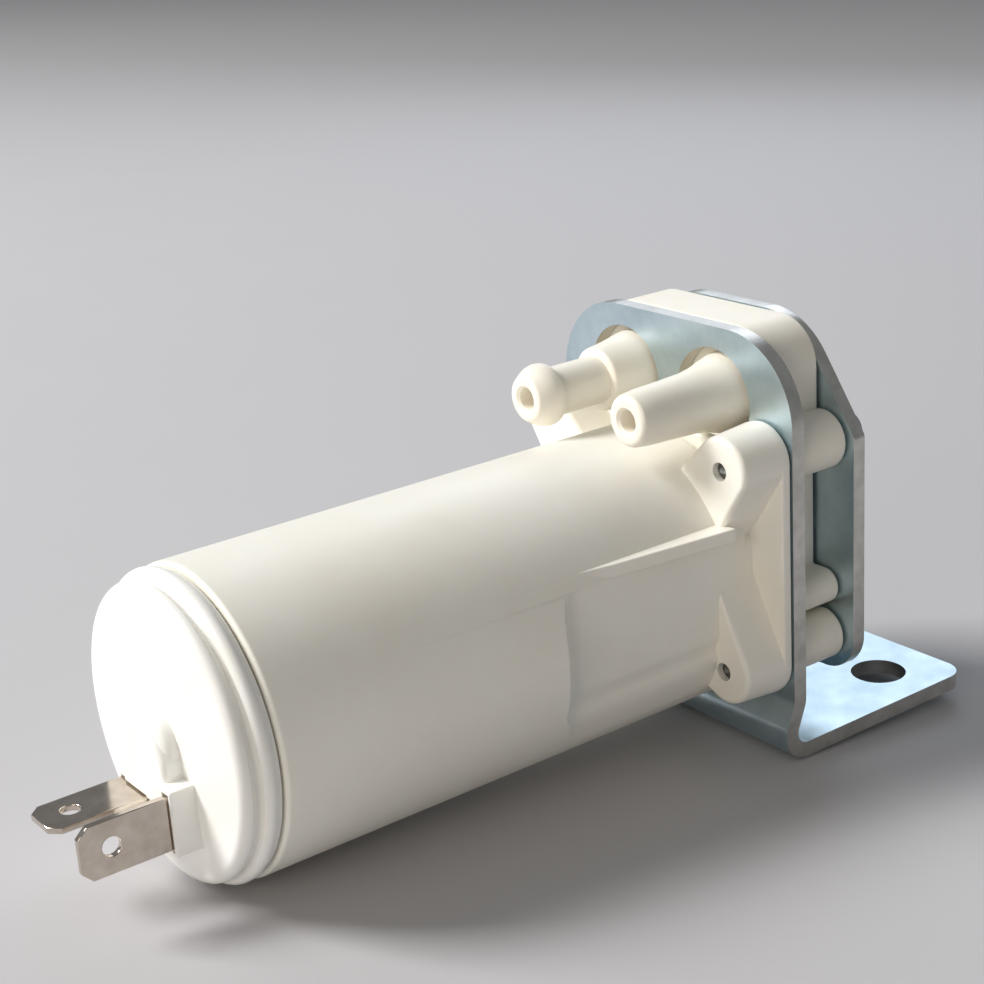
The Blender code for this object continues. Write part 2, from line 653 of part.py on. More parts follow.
def build_rotor():
    """Everything that turns with the shaft: core, windings, commutator and drive gear."""
    add_rod("motor_shaft", SHAFT_R, SHAFT_START, SHAFT_END, STEEL, parent=ROTOR)
    bush_r = SHAFT_R + GAP
    add_flat("armature_core", [core_outline(), circle((0, 0), bush_r)], CORE_START, CORE_END, LAMINATION,
             parent=ROTOR)
    coil_r = CORE_R - POLE_SHOE - GAP
    coil_in = bush_r + GAP
    ends = {"rear": (CORE_START - GAP - WINDING_OVERHANG, CORE_START - GAP),
            "front": (CORE_END + GAP, CORE_END + GAP + WINDING_OVERHANG)}

    def coil_ring(name, low, high, finish=None):
        bulge = (coil_r + coil_in) / 2
        middle = (low + high) / 2
        profile = [(bulge, high), (coil_r, middle), (bulge, low), (coil_in, low), (coil_in, high)]
        return add_turned(name, profile, finish, ring=True, parent=ROTOR, facets=FINE)

    coils = coil_ring("armature_windings", *ends["rear"], COPPER)
    join(coils, coil_ring("winding_front", *ends["front"]))
    slot_r = (CORE_HUB_R + CORE_R - POLE_SHOE) / 2
    wire_r = (CORE_R - POLE_SHOE - CORE_HUB_R) / 2 - 2 * GAP
    overlap = WINDING_OVERHANG / 2
    for i in range(POLES):
        angle = math.radians(360.0 / POLES * (i + 0.5))
        join(coils, add_rod(f"slot_wires_{i}", wire_r, CORE_START - overlap, CORE_END + overlap, parent=ROTOR,
                            y=slot_r * math.cos(angle), z=slot_r * math.sin(angle), facets=16))
    riser_end = COMMUTATOR_END + RISER_T
    profile = [(RISER_R, riser_end), (RISER_R, COMMUTATOR_END), (COMMUTATOR_R, COMMUTATOR_END),
               (COMMUTATOR_R, COMMUTATOR_START), (bush_r, COMMUTATOR_START), (bush_r, riser_end)]
    add_turned("commutator", profile, COPPER, ring=True, parent=ROTOR, facets=FINE)
    add_flat("drive_gear", [gear_outline(0.5), circle((0, 0), bush_r)], GEAR_START, GEAR_END, ACETAL,
             parent=ROTOR)


def gear_outline(phase):
    """Involute spur gear outline. Phase 0.5 points a tooth at +Z, and phase 0 points a gap there."""
    base_r = GEAR_PITCH_R * math.cos(PRESSURE_ANGLE)

    def involute(angle):
        return math.tan(angle) - angle

    def flank(radius):
        roll = math.acos(min(1.0, base_r / radius))
        half = math.pi / (2 * GEAR_TEETH) - BACKLASH / GEAR_PITCH_R
        return half + involute(PRESSURE_ANGLE) - involute(roll)

    radii = [GEAR_ROOT_R] + [base_r + (GEAR_TIP_R - base_r) * i / 3 for i in range(4)]
    points = []
    for tooth in range(GEAR_TEETH):
        middle = math.pi / 2 + 2 * math.pi * (tooth + phase + 0.5) / GEAR_TEETH
        side = [(radius, flank(radius)) for radius in radii]
        for radius, half in side:
            points.append((radius * math.cos(middle - half), radius * math.sin(middle - half)))
        for radius, half in reversed(side):
            points.append((radius * math.cos(middle + half), radius * math.sin(middle + half)))
    return points


# Plates ----------------------------------------------------------------------------------------------

def port_places():
    """Name and place of each port: the far one is barbed and the near one is plain."""
    return (("far", PORT_Y), ("near", -PORT_Y))


def build_bracket():
    """Front plate, slanted step and foot, bent from one strip and cut to outline."""
    middle = FRONT_PLATE + PLATE_T / 2
    low = FOOT_LOW_Z + PLATE_T / 2
    knee = middle - SLANT
    path = rounded([((middle, PLATE_TOP_Z + THROUGH), 0), ((middle, SLANT_Z), BEND_R), ((knee, low), BEND_R),
                    ((FOOT_END + THROUGH, low), 0)], 6)
    mesh = bpy.data.meshes.new("mounting_bracket")
    work = bmesh.new()
    half = HALF_W + 2 * THROUGH
    line = [work.verts.new((x * MM, -half * MM, z * MM)) for x, z in path]
    edges = [work.edges.new(pair) for pair in zip(line, line[1:])]
    swept = bmesh.ops.extrude_edge_only(work, edges=edges)["geom"]
    bmesh.ops.translate(work, vec=(0, 2 * half * MM, 0),
                        verts=[v for v in swept if isinstance(v, bmesh.types.BMVert)])
    work.to_mesh(mesh)
    work.free()
    bracket = place(bpy.data.objects.new("mounting_bracket", mesh), ZINC)
    sheet = bracket.modifiers.new("sheet", "SOLIDIFY")
    sheet.thickness = PLATE_T * MM
    sheet.offset = 0.0
    sheet.use_even_offset = True
    wide, below, above = HALF_W + THROUGH, FOOT_LOW_Z - THROUGH, FOOT_LOW_Z + THROUGH
    front = rounded([((-wide, below), 0), ((wide, below), 0), ((wide, above), 0), ((HALF_W, above), 0),
                     ((HALF_W, PLATE_TOP_Z), FRONT_CORNER_R), ((-HALF_W, PLATE_TOP_Z), FRONT_CORNER_R),
                     ((-HALF_W, above), 0), ((-wide, above), 0)])
    ends = (FOOT_START - THROUGH, FOOT_END + THROUGH)
    combine(bracket, add_flat("front_outline", [front], *ends), "INTERSECT")
    plan = rounded([((FOOT_START - THROUGH, -HALF_W), 0), ((FOOT_END, -HALF_W), FOOT_CORNER_R),
                    ((FOOT_END, HALF_W), FOOT_CORNER_R), ((FOOT_START - THROUGH, HALF_W), 0)])
    combine(bracket, add_flat("foot_outline", [plan], below, PLATE_TOP_Z + THROUGH, axis="Z"), "INTERSECT")
    through = (FRONT_PLATE - THROUGH, PLATE_BACK + THROUGH)
    for side, y in port_places():
        cut(bracket, add_rod(f"port_clearance_{side}", PORT_HOLE_R, *through, y=y + PORT_HOLE_SHIFT_Y,
                             z=PORT_Z + PORT_HOLE_SHIFT_Z, facets=32))
        cut(bracket, add_rod(f"foot_hole_{side}", FOOT_HOLE_R, below, FOOT_LOW_Z + PLATE_T + THROUGH,
                             x=FOOT_HOLE_X, y=math.copysign(FOOT_HOLE_Y, y), axis="Z"))
    cut(bracket, add_rod("hub_hole", HUB_R + GAP, *through))
    cut(bracket, *screw_holes("bracket_screw", *through))


def build_back_plate():
    """Back plate: cut upper corners and lower corners that follow the screws."""
    slope = math.radians(BACK_SLOPE)
    run = (PLATE_TOP_Z - BACK_KINK_Z) / math.tan(slope)
    low = SCREW_LOW_Z - BACK_LOW_R
    right = [((HALF_W, low), BACK_LOW_R), ((HALF_W, BACK_KINK_Z), BACK_KINK_R),
             ((HALF_W - run, PLATE_TOP_Z), BACK_CORNER_R)]
    corners = right + [((-y, z), radius) for (y, z), radius in reversed(right)]
    plate = add_flat("back_plate", [rounded(corners)], BACK_PLATE, BACK_PLATE_END, ZINC)
    cut(plate, *screw_holes("back_screw", BACK_PLATE - THROUGH, BACK_PLATE_END + THROUGH))


def build_screws():
    """Four self-tapping screws from behind, with a cross recess in each head."""
    tip = BOSS_FACE + SCREW_TIP_INSET
    seat = BACK_PLATE_END + GAP
    for spot, (y, z) in SCREW_PLACES.items():
        profile = [(0.0, seat + HEAD_T), (HEAD_R * 0.6, seat + HEAD_T), (HEAD_R, seat + HEAD_T / 2),
                   (HEAD_R, seat), (SCREW_R, seat), (SCREW_R, tip + SCREW_POINT), (TIP_R, tip), (0.0, tip)]
        screw = add_turned(f"screw_{spot}", profile, STEEL, y=y, z=z, facets=16)
        depth = (seat + HEAD_T - RECESS_DEPTH, seat + HEAD_T + THROUGH)
        arm = RECESS_ARM / 2
        slot = RECESS_W / 2
        cut(screw, add_box(f"recess_a_{spot}", depth, (y - arm, y + arm), (z - slot, z + slot)))
        cut(screw, add_box(f"recess_b_{spot}", depth, (y - slot, y + slot), (z - arm, z + arm)))


# Pump ------------------------------------------------------------------------------------------------

def body_outline():
    """Outline of the pump body: port block on top, straight sides, lugs and a round sump."""
    meet = math.degrees(math.asin((SHOULDER_FALL - BODY_SHOULDER_Z) / BODY_SUMP_R))
    lug_r = LUG_H / 2
    lug_mid = BODY_SHOULDER_Z + lug_r
    right = arc((0, 0), BODY_SUMP_R, -90.0, -meet, 8)
    right += arc((LUG_REACH - lug_r, lug_mid), lug_r, -90.0, 90.0, 8)
    right += [(BODY_HALF_W, BODY_SHOULDER_Z + LUG_H), (BODY_HALF_W, BLOCK_STEP_Z),
              (BLOCK_HALF_W, BLOCK_STEP_Z + BLOCK_HALF_W - BODY_HALF_W)]
    right += arc((BLOCK_HALF_W - BLOCK_CORNER_R, PLATE_TOP_Z - BLOCK_CORNER_R), BLOCK_CORNER_R, 0.0, 90.0)
    return right + mirrored(right)[:-1]


def cover_outline(inset):
    """Outline of the cover's recess, or of a sheet that lies in it with a clearance."""
    half = COVER_HALF_W - inset
    radius = COVER_LOW_R - inset
    drop = math.degrees(math.asin((SHOULDER_FALL - COVER_SHOULDER_Z) / radius))
    right = arc((0, 0), radius, -90.0, -drop, 8) + [(half, COVER_SHOULDER_Z), (half, COVER_TOP_Z - inset)]
    return right + mirrored(right)[:-1]


def port_profile(barbed):
    """Outer profile of a port, from its base in the body to its nose."""
    root = BODY_FRONT + CHAMBER_FLOOR / 2
    base = [(0.0, root), (PORT_BASE_R, root), (PORT_BASE_R, BODY_FRONT - GAP)]
    if barbed:
        barb_end = BARB_TIP + BARB_LENGTH
        crest = BARB_TIP + BARB_LENGTH - NOSE_ROUND
        return base + [(STEM_LIP_R, STEM_END), (STEM_R, STEM_END), (STEM_R, barb_end), (BARB_R, crest),
                       (BARB_NOSE_R + NOSE_ROUND, BARB_TIP + NOSE_ROUND), (BARB_NOSE_R, BARB_TIP),
                       (0.0, BARB_TIP)]
    return base + [(PLAIN_FLARE_R, PLAIN_FLARE), (PLAIN_R, SPIGOT_TIP + 2 * NOSE_ROUND),
                   (SPIGOT_NOSE_R + NOSE_ROUND, SPIGOT_TIP + NOSE_ROUND), (SPIGOT_NOSE_R, SPIGOT_TIP),
                   (0.0, SPIGOT_TIP)]


def build_pump_body():
    """Pump body: columns, seal hub and both ports, then the gear chamber, channels and cover recess."""
    body = add_flat("pump_body", [body_outline()], BODY_FRONT, BODY_BACK, CREAM)
    for spot, (y, z) in SCREW_PLACES.items():
        radius = COLUMN_R if z > 0 else LOW_COLUMN_R
        join(body, add_rod(f"column_{spot}", radius, BODY_FRONT, BODY_BACK, y=y, z=z))
    web_z = (SCREW_LOW_Z - WEB_T / 2, SCREW_LOW_Z + WEB_T / 2)
    join(body, add_box("column_web", (BODY_FRONT + GAP, BODY_BACK - GAP), (-SCREW_Y, SCREW_Y), web_z))
    join(body, add_rod("seal_hub", HUB_R, HUB_START, BODY_FRONT + CHAMBER_FLOOR / 2))
    for side, y in port_places():
        join(body, add_turned(f"port_{side}", port_profile(side == "far"), y=y, z=PORT_Z, facets=28))
    open_end = BODY_BACK + THROUGH
    cut(body, add_flat("cover_recess", [cover_outline(0.0)], COVER_SEAT, open_end))
    chamber_end = COVER_SEAT + GAP
    for name, z in (("drive", 0.0), ("idler", IDLER_Z)):
        cut(body, add_rod(f"{name}_chamber", CHAMBER_R, CHAMBER_START, chamber_end, z=z, facets=32))
    depth = (CHAMBER_START + GAP, chamber_end)
    for side, y in port_places():
        sign = math.copysign(1.0, y)

        def across(low, high):
            return sorted((sign * low, sign * high))

        foot = (CHANNEL_LOW_Z, CHANNEL_LOW_Z + CHANNEL_H)
        head = (CHANNEL_TOP_Z - CHANNEL_H, CHANNEL_TOP_Z)
        cut(body, add_box(f"gallery_{side}", depth, across(GEAR_ROOT_R, CHANNEL_OUT), foot))
        cut(body, add_box(f"riser_{side}", depth, across(CHANNEL_IN, CHANNEL_OUT),
                          (foot[0] + GAP, head[1] - GAP)))
        cut(body, add_box(f"header_{side}", depth, across(PORT_Y - PORT_BORE_R - GAP, CHANNEL_OUT), head))
        cut(body, add_rod(f"port_bore_{side}", PORT_BORE_R, BARB_TIP - THROUGH, CHAMBER_START + 2 * GAP,
                          y=y, z=PORT_Z))
    cut(body, *screw_holes("body_screw", BODY_FRONT - THROUGH, open_end))
    cut(body, add_rod("seal_pocket", SEAL_R + GAP, HUB_START - THROUGH, HUB_START + SEAL_T + 2 * GAP))
    cut(body, add_rod("shaft_hole", SHAFT_R + GAP, HUB_START, CHAMBER_START + THROUGH))
    cut(body, add_rod("pin_hole", PIN_R + GAP, BODY_FRONT + PIN_HOLE_FLOOR, CHAMBER_START + THROUGH,
                      z=IDLER_Z))


def build_pump_internals():
    """Seal, wear plate, gasket, idler pin and idler gear."""
    add_bush("shaft_seal", SEAL_R, SHAFT_R + GAP, HUB_START + GAP, HUB_START + GAP + SEAL_T, RUBBER)
    cover = COVER_SEAT + GAP
    add_flat("wear_plate", [cover_outline(GAP)], cover, cover + COVER_T, STEEL)
    gasket = cover + COVER_T + GAP
    add_flat("cover_gasket", [cover_outline(GAP)], gasket, gasket + GASKET_T, RUBBER)
    pin_start = BODY_FRONT + PIN_HOLE_FLOOR + GAP
    add_rod("idler_pin", PIN_R, pin_start, GEAR_END, STEEL, z=IDLER_Z)
    add_flat("idler_gear", [gear_outline(0.0), circle((0, 0), PIN_R + GAP)], GEAR_START, GEAR_END, ACETAL,
             parent=IDLER)


build_housing()
build_cap()
build_blades()
build_stator()
build_rotor()
build_bracket()
build_back_plate()
build_screws()
build_pump_body()
build_pump_internals()
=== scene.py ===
"""Looks of a small electric gear pump: moulded nylon motor and pump head, zinc-plated plates, tinned blades.

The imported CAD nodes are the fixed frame. Each visible sub-assembly is rebuilt here with finer shapes round
the same sizes, and the nodes inside keep their CAD shapes and get their own finishes.
"""

import json
import logging
import math
from collections.abc import Callable
from dataclasses import dataclass, field
from enum import Enum

import bmesh
import bpy
from mathutils import Matrix, Quaternion, Vector


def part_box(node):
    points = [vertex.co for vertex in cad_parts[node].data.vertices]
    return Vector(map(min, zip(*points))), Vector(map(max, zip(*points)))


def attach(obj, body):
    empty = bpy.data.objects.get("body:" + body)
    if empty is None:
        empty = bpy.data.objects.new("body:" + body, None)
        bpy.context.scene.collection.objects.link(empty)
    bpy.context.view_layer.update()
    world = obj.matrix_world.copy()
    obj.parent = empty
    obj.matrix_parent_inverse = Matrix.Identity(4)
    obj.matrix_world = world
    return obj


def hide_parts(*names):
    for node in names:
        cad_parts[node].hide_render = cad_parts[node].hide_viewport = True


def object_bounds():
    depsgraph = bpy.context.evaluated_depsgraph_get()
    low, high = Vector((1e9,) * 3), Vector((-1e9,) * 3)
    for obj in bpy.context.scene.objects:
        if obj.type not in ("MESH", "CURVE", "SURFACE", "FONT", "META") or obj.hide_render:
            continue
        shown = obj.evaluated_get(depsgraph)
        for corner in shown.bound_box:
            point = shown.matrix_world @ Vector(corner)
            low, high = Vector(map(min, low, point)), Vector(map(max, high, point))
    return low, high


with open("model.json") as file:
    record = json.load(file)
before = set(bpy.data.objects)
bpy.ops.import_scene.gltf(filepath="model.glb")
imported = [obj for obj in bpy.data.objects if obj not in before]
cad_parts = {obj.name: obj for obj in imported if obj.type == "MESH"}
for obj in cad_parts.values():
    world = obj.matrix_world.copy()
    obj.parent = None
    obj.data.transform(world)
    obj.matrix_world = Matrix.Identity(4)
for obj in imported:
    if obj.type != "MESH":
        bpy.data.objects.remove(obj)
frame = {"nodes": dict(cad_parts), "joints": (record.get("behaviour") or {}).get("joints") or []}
CAD_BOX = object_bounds()
log = logging.getLogger("pump")

MM = 0.001
GAP = 0.3
THROUGH = 2.0
SMOOTH_ANGLE = math.radians(38)
AXIS_HEIGHT = next(joint["pos_m"][2] for joint in frame["joints"] if joint["name"] == "rotor_spin")
BLADE_REACH = 13.85 * MM
DATUM = Vector((CAD_BOX[0].x + BLADE_REACH, 0.0, AXIS_HEIGHT))

Point = tuple[float, float]


class Axis(Enum):
    """The direction that a flat outline is extruded along, as the turn from local to world axes."""

    X = ((0, 0, 1), (1, 0, 0), (0, 1, 0))
    Y = ((1, 0, 0), (0, 0, -1), (0, 1, 0))
    Z = ((1, 0, 0), (0, 1, 0), (0, 0, 1))


class Change(Enum):
    """How a tool changes the piece that it is applied to."""

    JOIN = "UNION"
    CUT = "DIFFERENCE"
    KEEP = "INTERSECT"


# Outlines

def arc(centre: Point, radius: float, start: float, end: float, count: int = 16) -> list[Point]:
    """Return points on an arc.

    Args:
        centre: Centre of the arc.
        radius: Its radius.
        start: Angle of the first point, in degrees.
        end: Angle of the last point, in degrees.
        count: Number of steps between them.

    Returns:
        The points, first to last.
    """
    angles = [math.radians(start + (end - start) * i / count) for i in range(count + 1)]
    return [(centre[0] + radius * math.cos(a), centre[1] + radius * math.sin(a)) for a in angles]


def rounded(corners: list[tuple[Point, float]], count: int = 12) -> list[Point]:
    """Round each corner of an outline by its own radius.

    Args:
        corners: Pairs of a corner and its radius; radius 0 leaves it sharp.
        count: Number of steps round each corner.

    Returns:
        The points of the rounded outline.
    """
    points: list[Point] = []
    for i, (corner, radius) in enumerate(corners):
        here = Vector(corner)
        if radius == 0:
            points.append(tuple(here))
            continue
        before = (Vector(corners[i - 1][0]) - here).normalized()
        after = (Vector(corners[(i + 1) % len(corners)][0]) - here).normalized()
        half = before.angle(after) / 2
        middle = here + (before + after).normalized() * radius / math.sin(half)
        first = here + before * radius / math.tan(half) - middle
        sweep = first.angle_signed(here + after * radius / math.tan(half) - middle)
        points += [tuple(middle + Matrix.Rotation(-sweep * k / count, 2) @ first) for k in range(count + 1)]
    return points


def mirrored(points: list[Point]) -> list[Point]:
    """Return an outline's mirror image on the other side of the mid plane, in the same turning sense.

    Args:
        points: The outline as (y, z).

    Returns:
        The mirrored points.
    """
    return [(-y, z) for y, z in reversed(points)]


# Shapes

def close_up(shape: bmesh.types.BMesh) -> bmesh.types.BMesh:
    """Merge doubled points and turn all faces outwards.

    Args:
        shape: The shape to change.

    Returns:
        The same shape.
    """
    bmesh.ops.remove_doubles(shape, verts=shape.verts, dist=1e-6)
    bmesh.ops.recalc_face_normals(shape, faces=shape.faces)
    return shape


def soften(shape: bmesh.types.BMesh, width: float, steps: int = 3,
           sharper: float = 40.0) -> bmesh.types.BMesh:
    """Round every edge that is sharper than an angle.

    Args:
        shape: The shape to change.
        width: Width of the rounding, in millimetres.
        steps: Number of facets across it.
        sharper: Only edges that turn by more than this many degrees are rounded.

    Returns:
        The same shape.
    """
    edges = [e for e in shape.edges if e.is_manifold and e.calc_face_angle() > math.radians(sharper)]
    bmesh.ops.bevel(shape, geom=edges, offset=width * MM, offset_type="OFFSET", affect="EDGES",
                    segments=steps, profile=0.5, material=-1, clamp_overlap=True)
    return shape


def turned(profile: list[Point], y: float = 0.0, z: float = 0.0, steps: int = 128) -> bmesh.types.BMesh:
    """Spin a profile round an axis along X.

    Args:
        profile: Points as (x, radius), from one end on the axis to the other.
        y: Place of the axis.
        z: Place of the axis.
        steps: Facets of the full turn.

    Returns:
        A closed shape.
    """
    shape = bmesh.new()
    chain = [shape.verts.new((x * MM, 0.0, radius * MM)) for x, radius in profile]
    edges = [shape.edges.new(pair) for pair in zip(chain, chain[1:])]
    bmesh.ops.spin(shape, geom=chain + edges, cent=(0, 0, 0), axis=(1, 0, 0), angle=math.tau, steps=steps,
                   use_merge=True, use_duplicate=False)
    bmesh.ops.translate(shape, vec=Vector((0, y, z)) * MM + DATUM, verts=shape.verts)
    return close_up(shape)


def prism(outline: list[Point], low: float, high: float, axis: Axis = Axis.X) -> bmesh.types.BMesh:
    """Extrude an outline along an axis. On Axis.Y it runs from -high to -low.

    Args:
        outline: Points of the closed outline, across the axis.
        low: Where it starts, in millimetres from the datum.
        high: Where it ends.
        axis: The axis that it runs along.

    Returns:
        A closed shape.
    """
    shape = bmesh.new()
    face = shape.faces.new([shape.verts.new((u * MM, v * MM, low * MM)) for u, v in outline])
    raised = bmesh.ops.extrude_face_region(shape, geom=[face])["geom"]
    bmesh.ops.translate(shape, vec=(0, 0, (high - low) * MM),
                        verts=[item for item in raised if isinstance(item, bmesh.types.BMVert)])
    place = Matrix.Translation(DATUM) @ Matrix(axis.value).to_4x4()
    bmesh.ops.transform(shape, matrix=place, verts=shape.verts)
    return close_up(shape)


def block(x: Point, y: Point, z: Point, edge: float = 0.0) -> bmesh.types.BMesh:
    """Make a box.

    Args:
        x: Its low and high x.
        y: Its low and high y.
        z: Its low and high z.
        edge: Width of its rounded edges, or 0 to leave them sharp.

    Returns:
        A closed shape.
    """
    shape = bmesh.new()
    size = Vector((x[1] - x[0], y[1] - y[0], z[1] - z[0])) * MM
    centre = Vector((sum(x), sum(y), sum(z))) / 2 * MM + DATUM
    bmesh.ops.create_cube(shape, size=1.0, matrix=Matrix.Translation(centre) @ Matrix.Diagonal((*size, 1.0)))
    return soften(shape, edge) if edge else shape


def rod(radius: float, low: float, high: float, y: float = 0.0, z: float = 0.0,
        steps: int = 48) -> bmesh.types.BMesh:
    """Make a plain cylinder along X.

    Args:
        radius: Its radius.
        low: Its low end.
        high: Its high end.
        y: Place of its axis.
        z: Place of its axis.
        steps: Facets of the full turn.

    Returns:
        A closed shape.
    """
    return turned([(low, 0.0), (low, radius), (high, radius), (high, 0.0)], y, z, steps)


def upright_rod(radius: float, low: float, high: float, x: float, y: float) -> bmesh.types.BMesh:
    """Make a plain cylinder along Z.

    Args:
        radius: Its radius.
        low: Its low end.
        high: Its high end.
        x: Place of its axis.
        y: Place of its axis.

    Returns:
        A closed shape.
    """
    shape = bmesh.new()
    bmesh.ops.create_cone(shape, cap_ends=True, segments=64, radius1=radius * MM, radius2=radius * MM,
                          depth=(high - low) * MM)
    bmesh.ops.translate(shape, vec=Vector((x, y, (low + high) / 2)) * MM + DATUM, verts=shape.verts)
    return shape


class Piece:
    """A finished piece of the model, built up from shapes."""

    def __init__(self, name: str, shape: bmesh.types.BMesh) -> None:
        """Start the piece from one shape.

        Args:
            name: Name of the piece's object.
            shape: The shape, which is used up.
        """
        self.item = self._stand(name, shape)

    @staticmethod
    def _stand(name: str, shape: bmesh.types.BMesh) -> bpy.types.Object:
        """Turn a shape into an object at the origin.

        Args:
            name: Name of the object.
            shape: The shape, which is used up.

        Returns:
            The object.
        """
        mesh = bpy.data.meshes.new(name)
        shape.to_mesh(mesh)
        shape.free()
        item = bpy.data.objects.new(name, mesh)
        bpy.context.scene.collection.objects.link(item)
        return item

    def _settle(self) -> None:
        """Apply the piece's modifiers to its mesh."""
        graph = bpy.context.evaluated_depsgraph_get()
        self.item.data = bpy.data.meshes.new_from_object(self.item.evaluated_get(graph))
        self.item.data.name = self.item.name
        self.item.modifiers.clear()

    def change(self, how: Change, *shapes: bmesh.types.BMesh) -> "Piece":
        """Join, cut or trim the piece with shapes.

        Args:
            how: What each shape does.
            shapes: The shapes, which are used up.

        Returns:
            The same piece.
        """
        tools = [self._stand(f"{self.item.name}_tool", shape) for shape in shapes]
        for tool in tools:
            step = self.item.modifiers.new(tool.name, "BOOLEAN")
            step.operation = how.value
            step.object = tool
        self._settle()
        for tool in tools:
            bpy.data.objects.remove(tool, do_unlink=True)
        return self

    def sheet(self, thickness: float) -> "Piece":
        """Give an open surface a thickness, half to each side.

        Args:
            thickness: The thickness, in millimetres.

        Returns:
            The same piece.
        """
        step = self.item.modifiers.new("sheet", "SOLIDIFY")
        step.thickness = thickness * MM
        step.offset = 0.0
        step.use_even_offset = True
        self._settle()
        return self

    def ease(self, width: float, steps: int = 2, sharper: float = 50.0) -> "Piece":
        """Break the piece's sharp edges, as tumbling or a mould's radius does.

        Args:
            width: Width of the rounding, in millimetres.
            steps: Number of facets across it.
            sharper: Only edges that turn by more than this many degrees are rounded.

        Returns:
            The same piece.
        """
        shape = bmesh.new()
        shape.from_mesh(self.item.data)
        bmesh.ops.remove_doubles(shape, verts=shape.verts, dist=2e-6)
        bmesh.ops.dissolve_limit(shape, angle_limit=math.radians(0.3), verts=shape.verts, edges=shape.edges)
        soften(shape, width, steps, sharper)
        shape.to_mesh(self.item.data)
        shape.free()
        return self

    def dress(self, finish: bpy.types.Material, *nodes: str, body: str = "pump") -> bpy.types.Object:
        """Shade the piece, give it its finish and let it stand for its CAD nodes.

        Args:
            finish: The material.
            nodes: CAD nodes that the piece replaces; they are hidden.
            body: The body that it rides on.

        Returns:
            The finished object.
        """
        mesh = self.item.data
        mesh.materials.clear()
        mesh.materials.append(finish)
        mesh.shade_smooth()
        mesh.set_sharp_from_angle(angle=SMOOTH_ANGLE)
        level = self.item.modifiers.new("even_shading", "WEIGHTED_NORMAL")
        level.keep_sharp = True
        self._settle()
        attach(self.item, body)
        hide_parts(*nodes)
        log.info("%s: %d faces", self.item.name, len(self.item.data.polygons))
        return self.item


# Finishes

def linear(code: str) -> tuple[float, float, float, float]:
    """Turn an sRGB hex colour to linear RGBA.

    Args:
        code: The colour, such as "#CFDFE6".

    Returns:
        Its linear red, green and blue, and an alpha of 1.
    """
    parts = [int(code[i:i + 2], 16) / 255 for i in (1, 3, 5)]
    return (*[c / 12.92 if c <= 0.04045 else ((c + 0.055) / 1.055) ** 2.4 for c in parts], 1.0)


def add_node(tree: bpy.types.NodeTree, kind: str, settings: dict | None = None,
             links: dict | None = None) -> bpy.types.Node:
    """Add a node with its settings and links.

    Args:
        tree: The material's node tree.
        kind: The node's type name.
        settings: Socket values by socket name, or node properties by property name.
        links: Output sockets to link, by the name or number of the input socket.

    Returns:
        The node.
    """
    node = tree.nodes.new(kind)
    for name, value in (settings or {}).items():
        if name in node.inputs:
            node.inputs[name].default_value = value
        else:
            setattr(node, name, value)
    for name, source in (links or {}).items():
        tree.links.new(source, node.inputs[name])
    return node


def per_metre(size_mm: float) -> float:
    """Scale of a noise pattern.

    Args:
        size_mm: How many millimetres across its features are.

    Returns:
        The scale, in features per metre.
    """
    return 1.0 / (size_mm * MM)


@dataclass(frozen=True)
class Finish:
    """A material's plain facts; the classes below add how its surface was made."""

    name: str
    light: str
    dark: str
    roughness: float = 0.45
    metallic: float = 0.0
    blotch_mm: float = 6.0
    grain_mm: float = 0.35
    grain_depth_mm: float = 0.01
    stretch: tuple[float, float, float] = (1.0, 1.0, 1.0)
    streaks: float = 0.0

    def special(self, shader: bpy.types.Node) -> None:
        """Set what only this kind of material has.

        Args:
            shader: The material's shader node.
        """

    def make(self) -> bpy.types.Material:
        """Build the material: blotches in colour and roughness, and a fine grain in relief.

        Returns:
            The material.
        """
        material = bpy.data.materials.new(self.name)
        material.use_nodes = True
        tree = material.node_tree
        shader = tree.nodes["Principled BSDF"]
        place = add_node(tree, "ShaderNodeTexCoord").outputs["Object"]
        drawn = add_node(tree, "ShaderNodeMapping", {"Scale": self.stretch},
                         {"Vector": place}).outputs["Vector"]
        blotch = add_node(tree, "ShaderNodeTexNoise",
                          {"Scale": per_metre(self.blotch_mm), "Detail": 4.0, "Roughness": 0.6},
                          {"Vector": place})
        grain = add_node(tree, "ShaderNodeTexNoise", {"Scale": per_metre(self.grain_mm), "Detail": 3.0},
                         {"Vector": drawn})
        spread = add_node(tree, "ShaderNodeMapRange", {"From Min": 0.3, "From Max": 0.7},
                          {"Value": blotch.outputs["Fac"]})
        streak = add_node(tree, "ShaderNodeMath", {"operation": "MULTIPLY_ADD"}, {0: grain.outputs["Fac"]})
        streak.inputs[1].default_value = self.streaks
        tree.links.new(spread.outputs["Result"], streak.inputs[2])
        colour = add_node(tree, "ShaderNodeMix", {"data_type": "RGBA"}, {0: streak.outputs["Value"]})
        colour.inputs[6].default_value = linear(self.light)
        colour.inputs[7].default_value = linear(self.dark)
        tree.links.new(colour.outputs[2], shader.inputs["Base Color"])
        rough = add_node(tree, "ShaderNodeMapRange",
                         {"To Min": self.roughness * 0.85, "To Max": self.roughness * 1.2},
                         {"Value": blotch.outputs["Fac"]})
        tree.links.new(rough.outputs["Result"], shader.inputs["Roughness"])
        bump = add_node(tree, "ShaderNodeBump", {"Strength": 0.5, "Distance": self.grain_depth_mm * MM},
                        {"Height": grain.outputs["Fac"]})
        tree.links.new(bump.outputs["Normal"], shader.inputs["Normal"])
        shader.inputs["Metallic"].default_value = self.metallic
        self.special(shader)
        return material


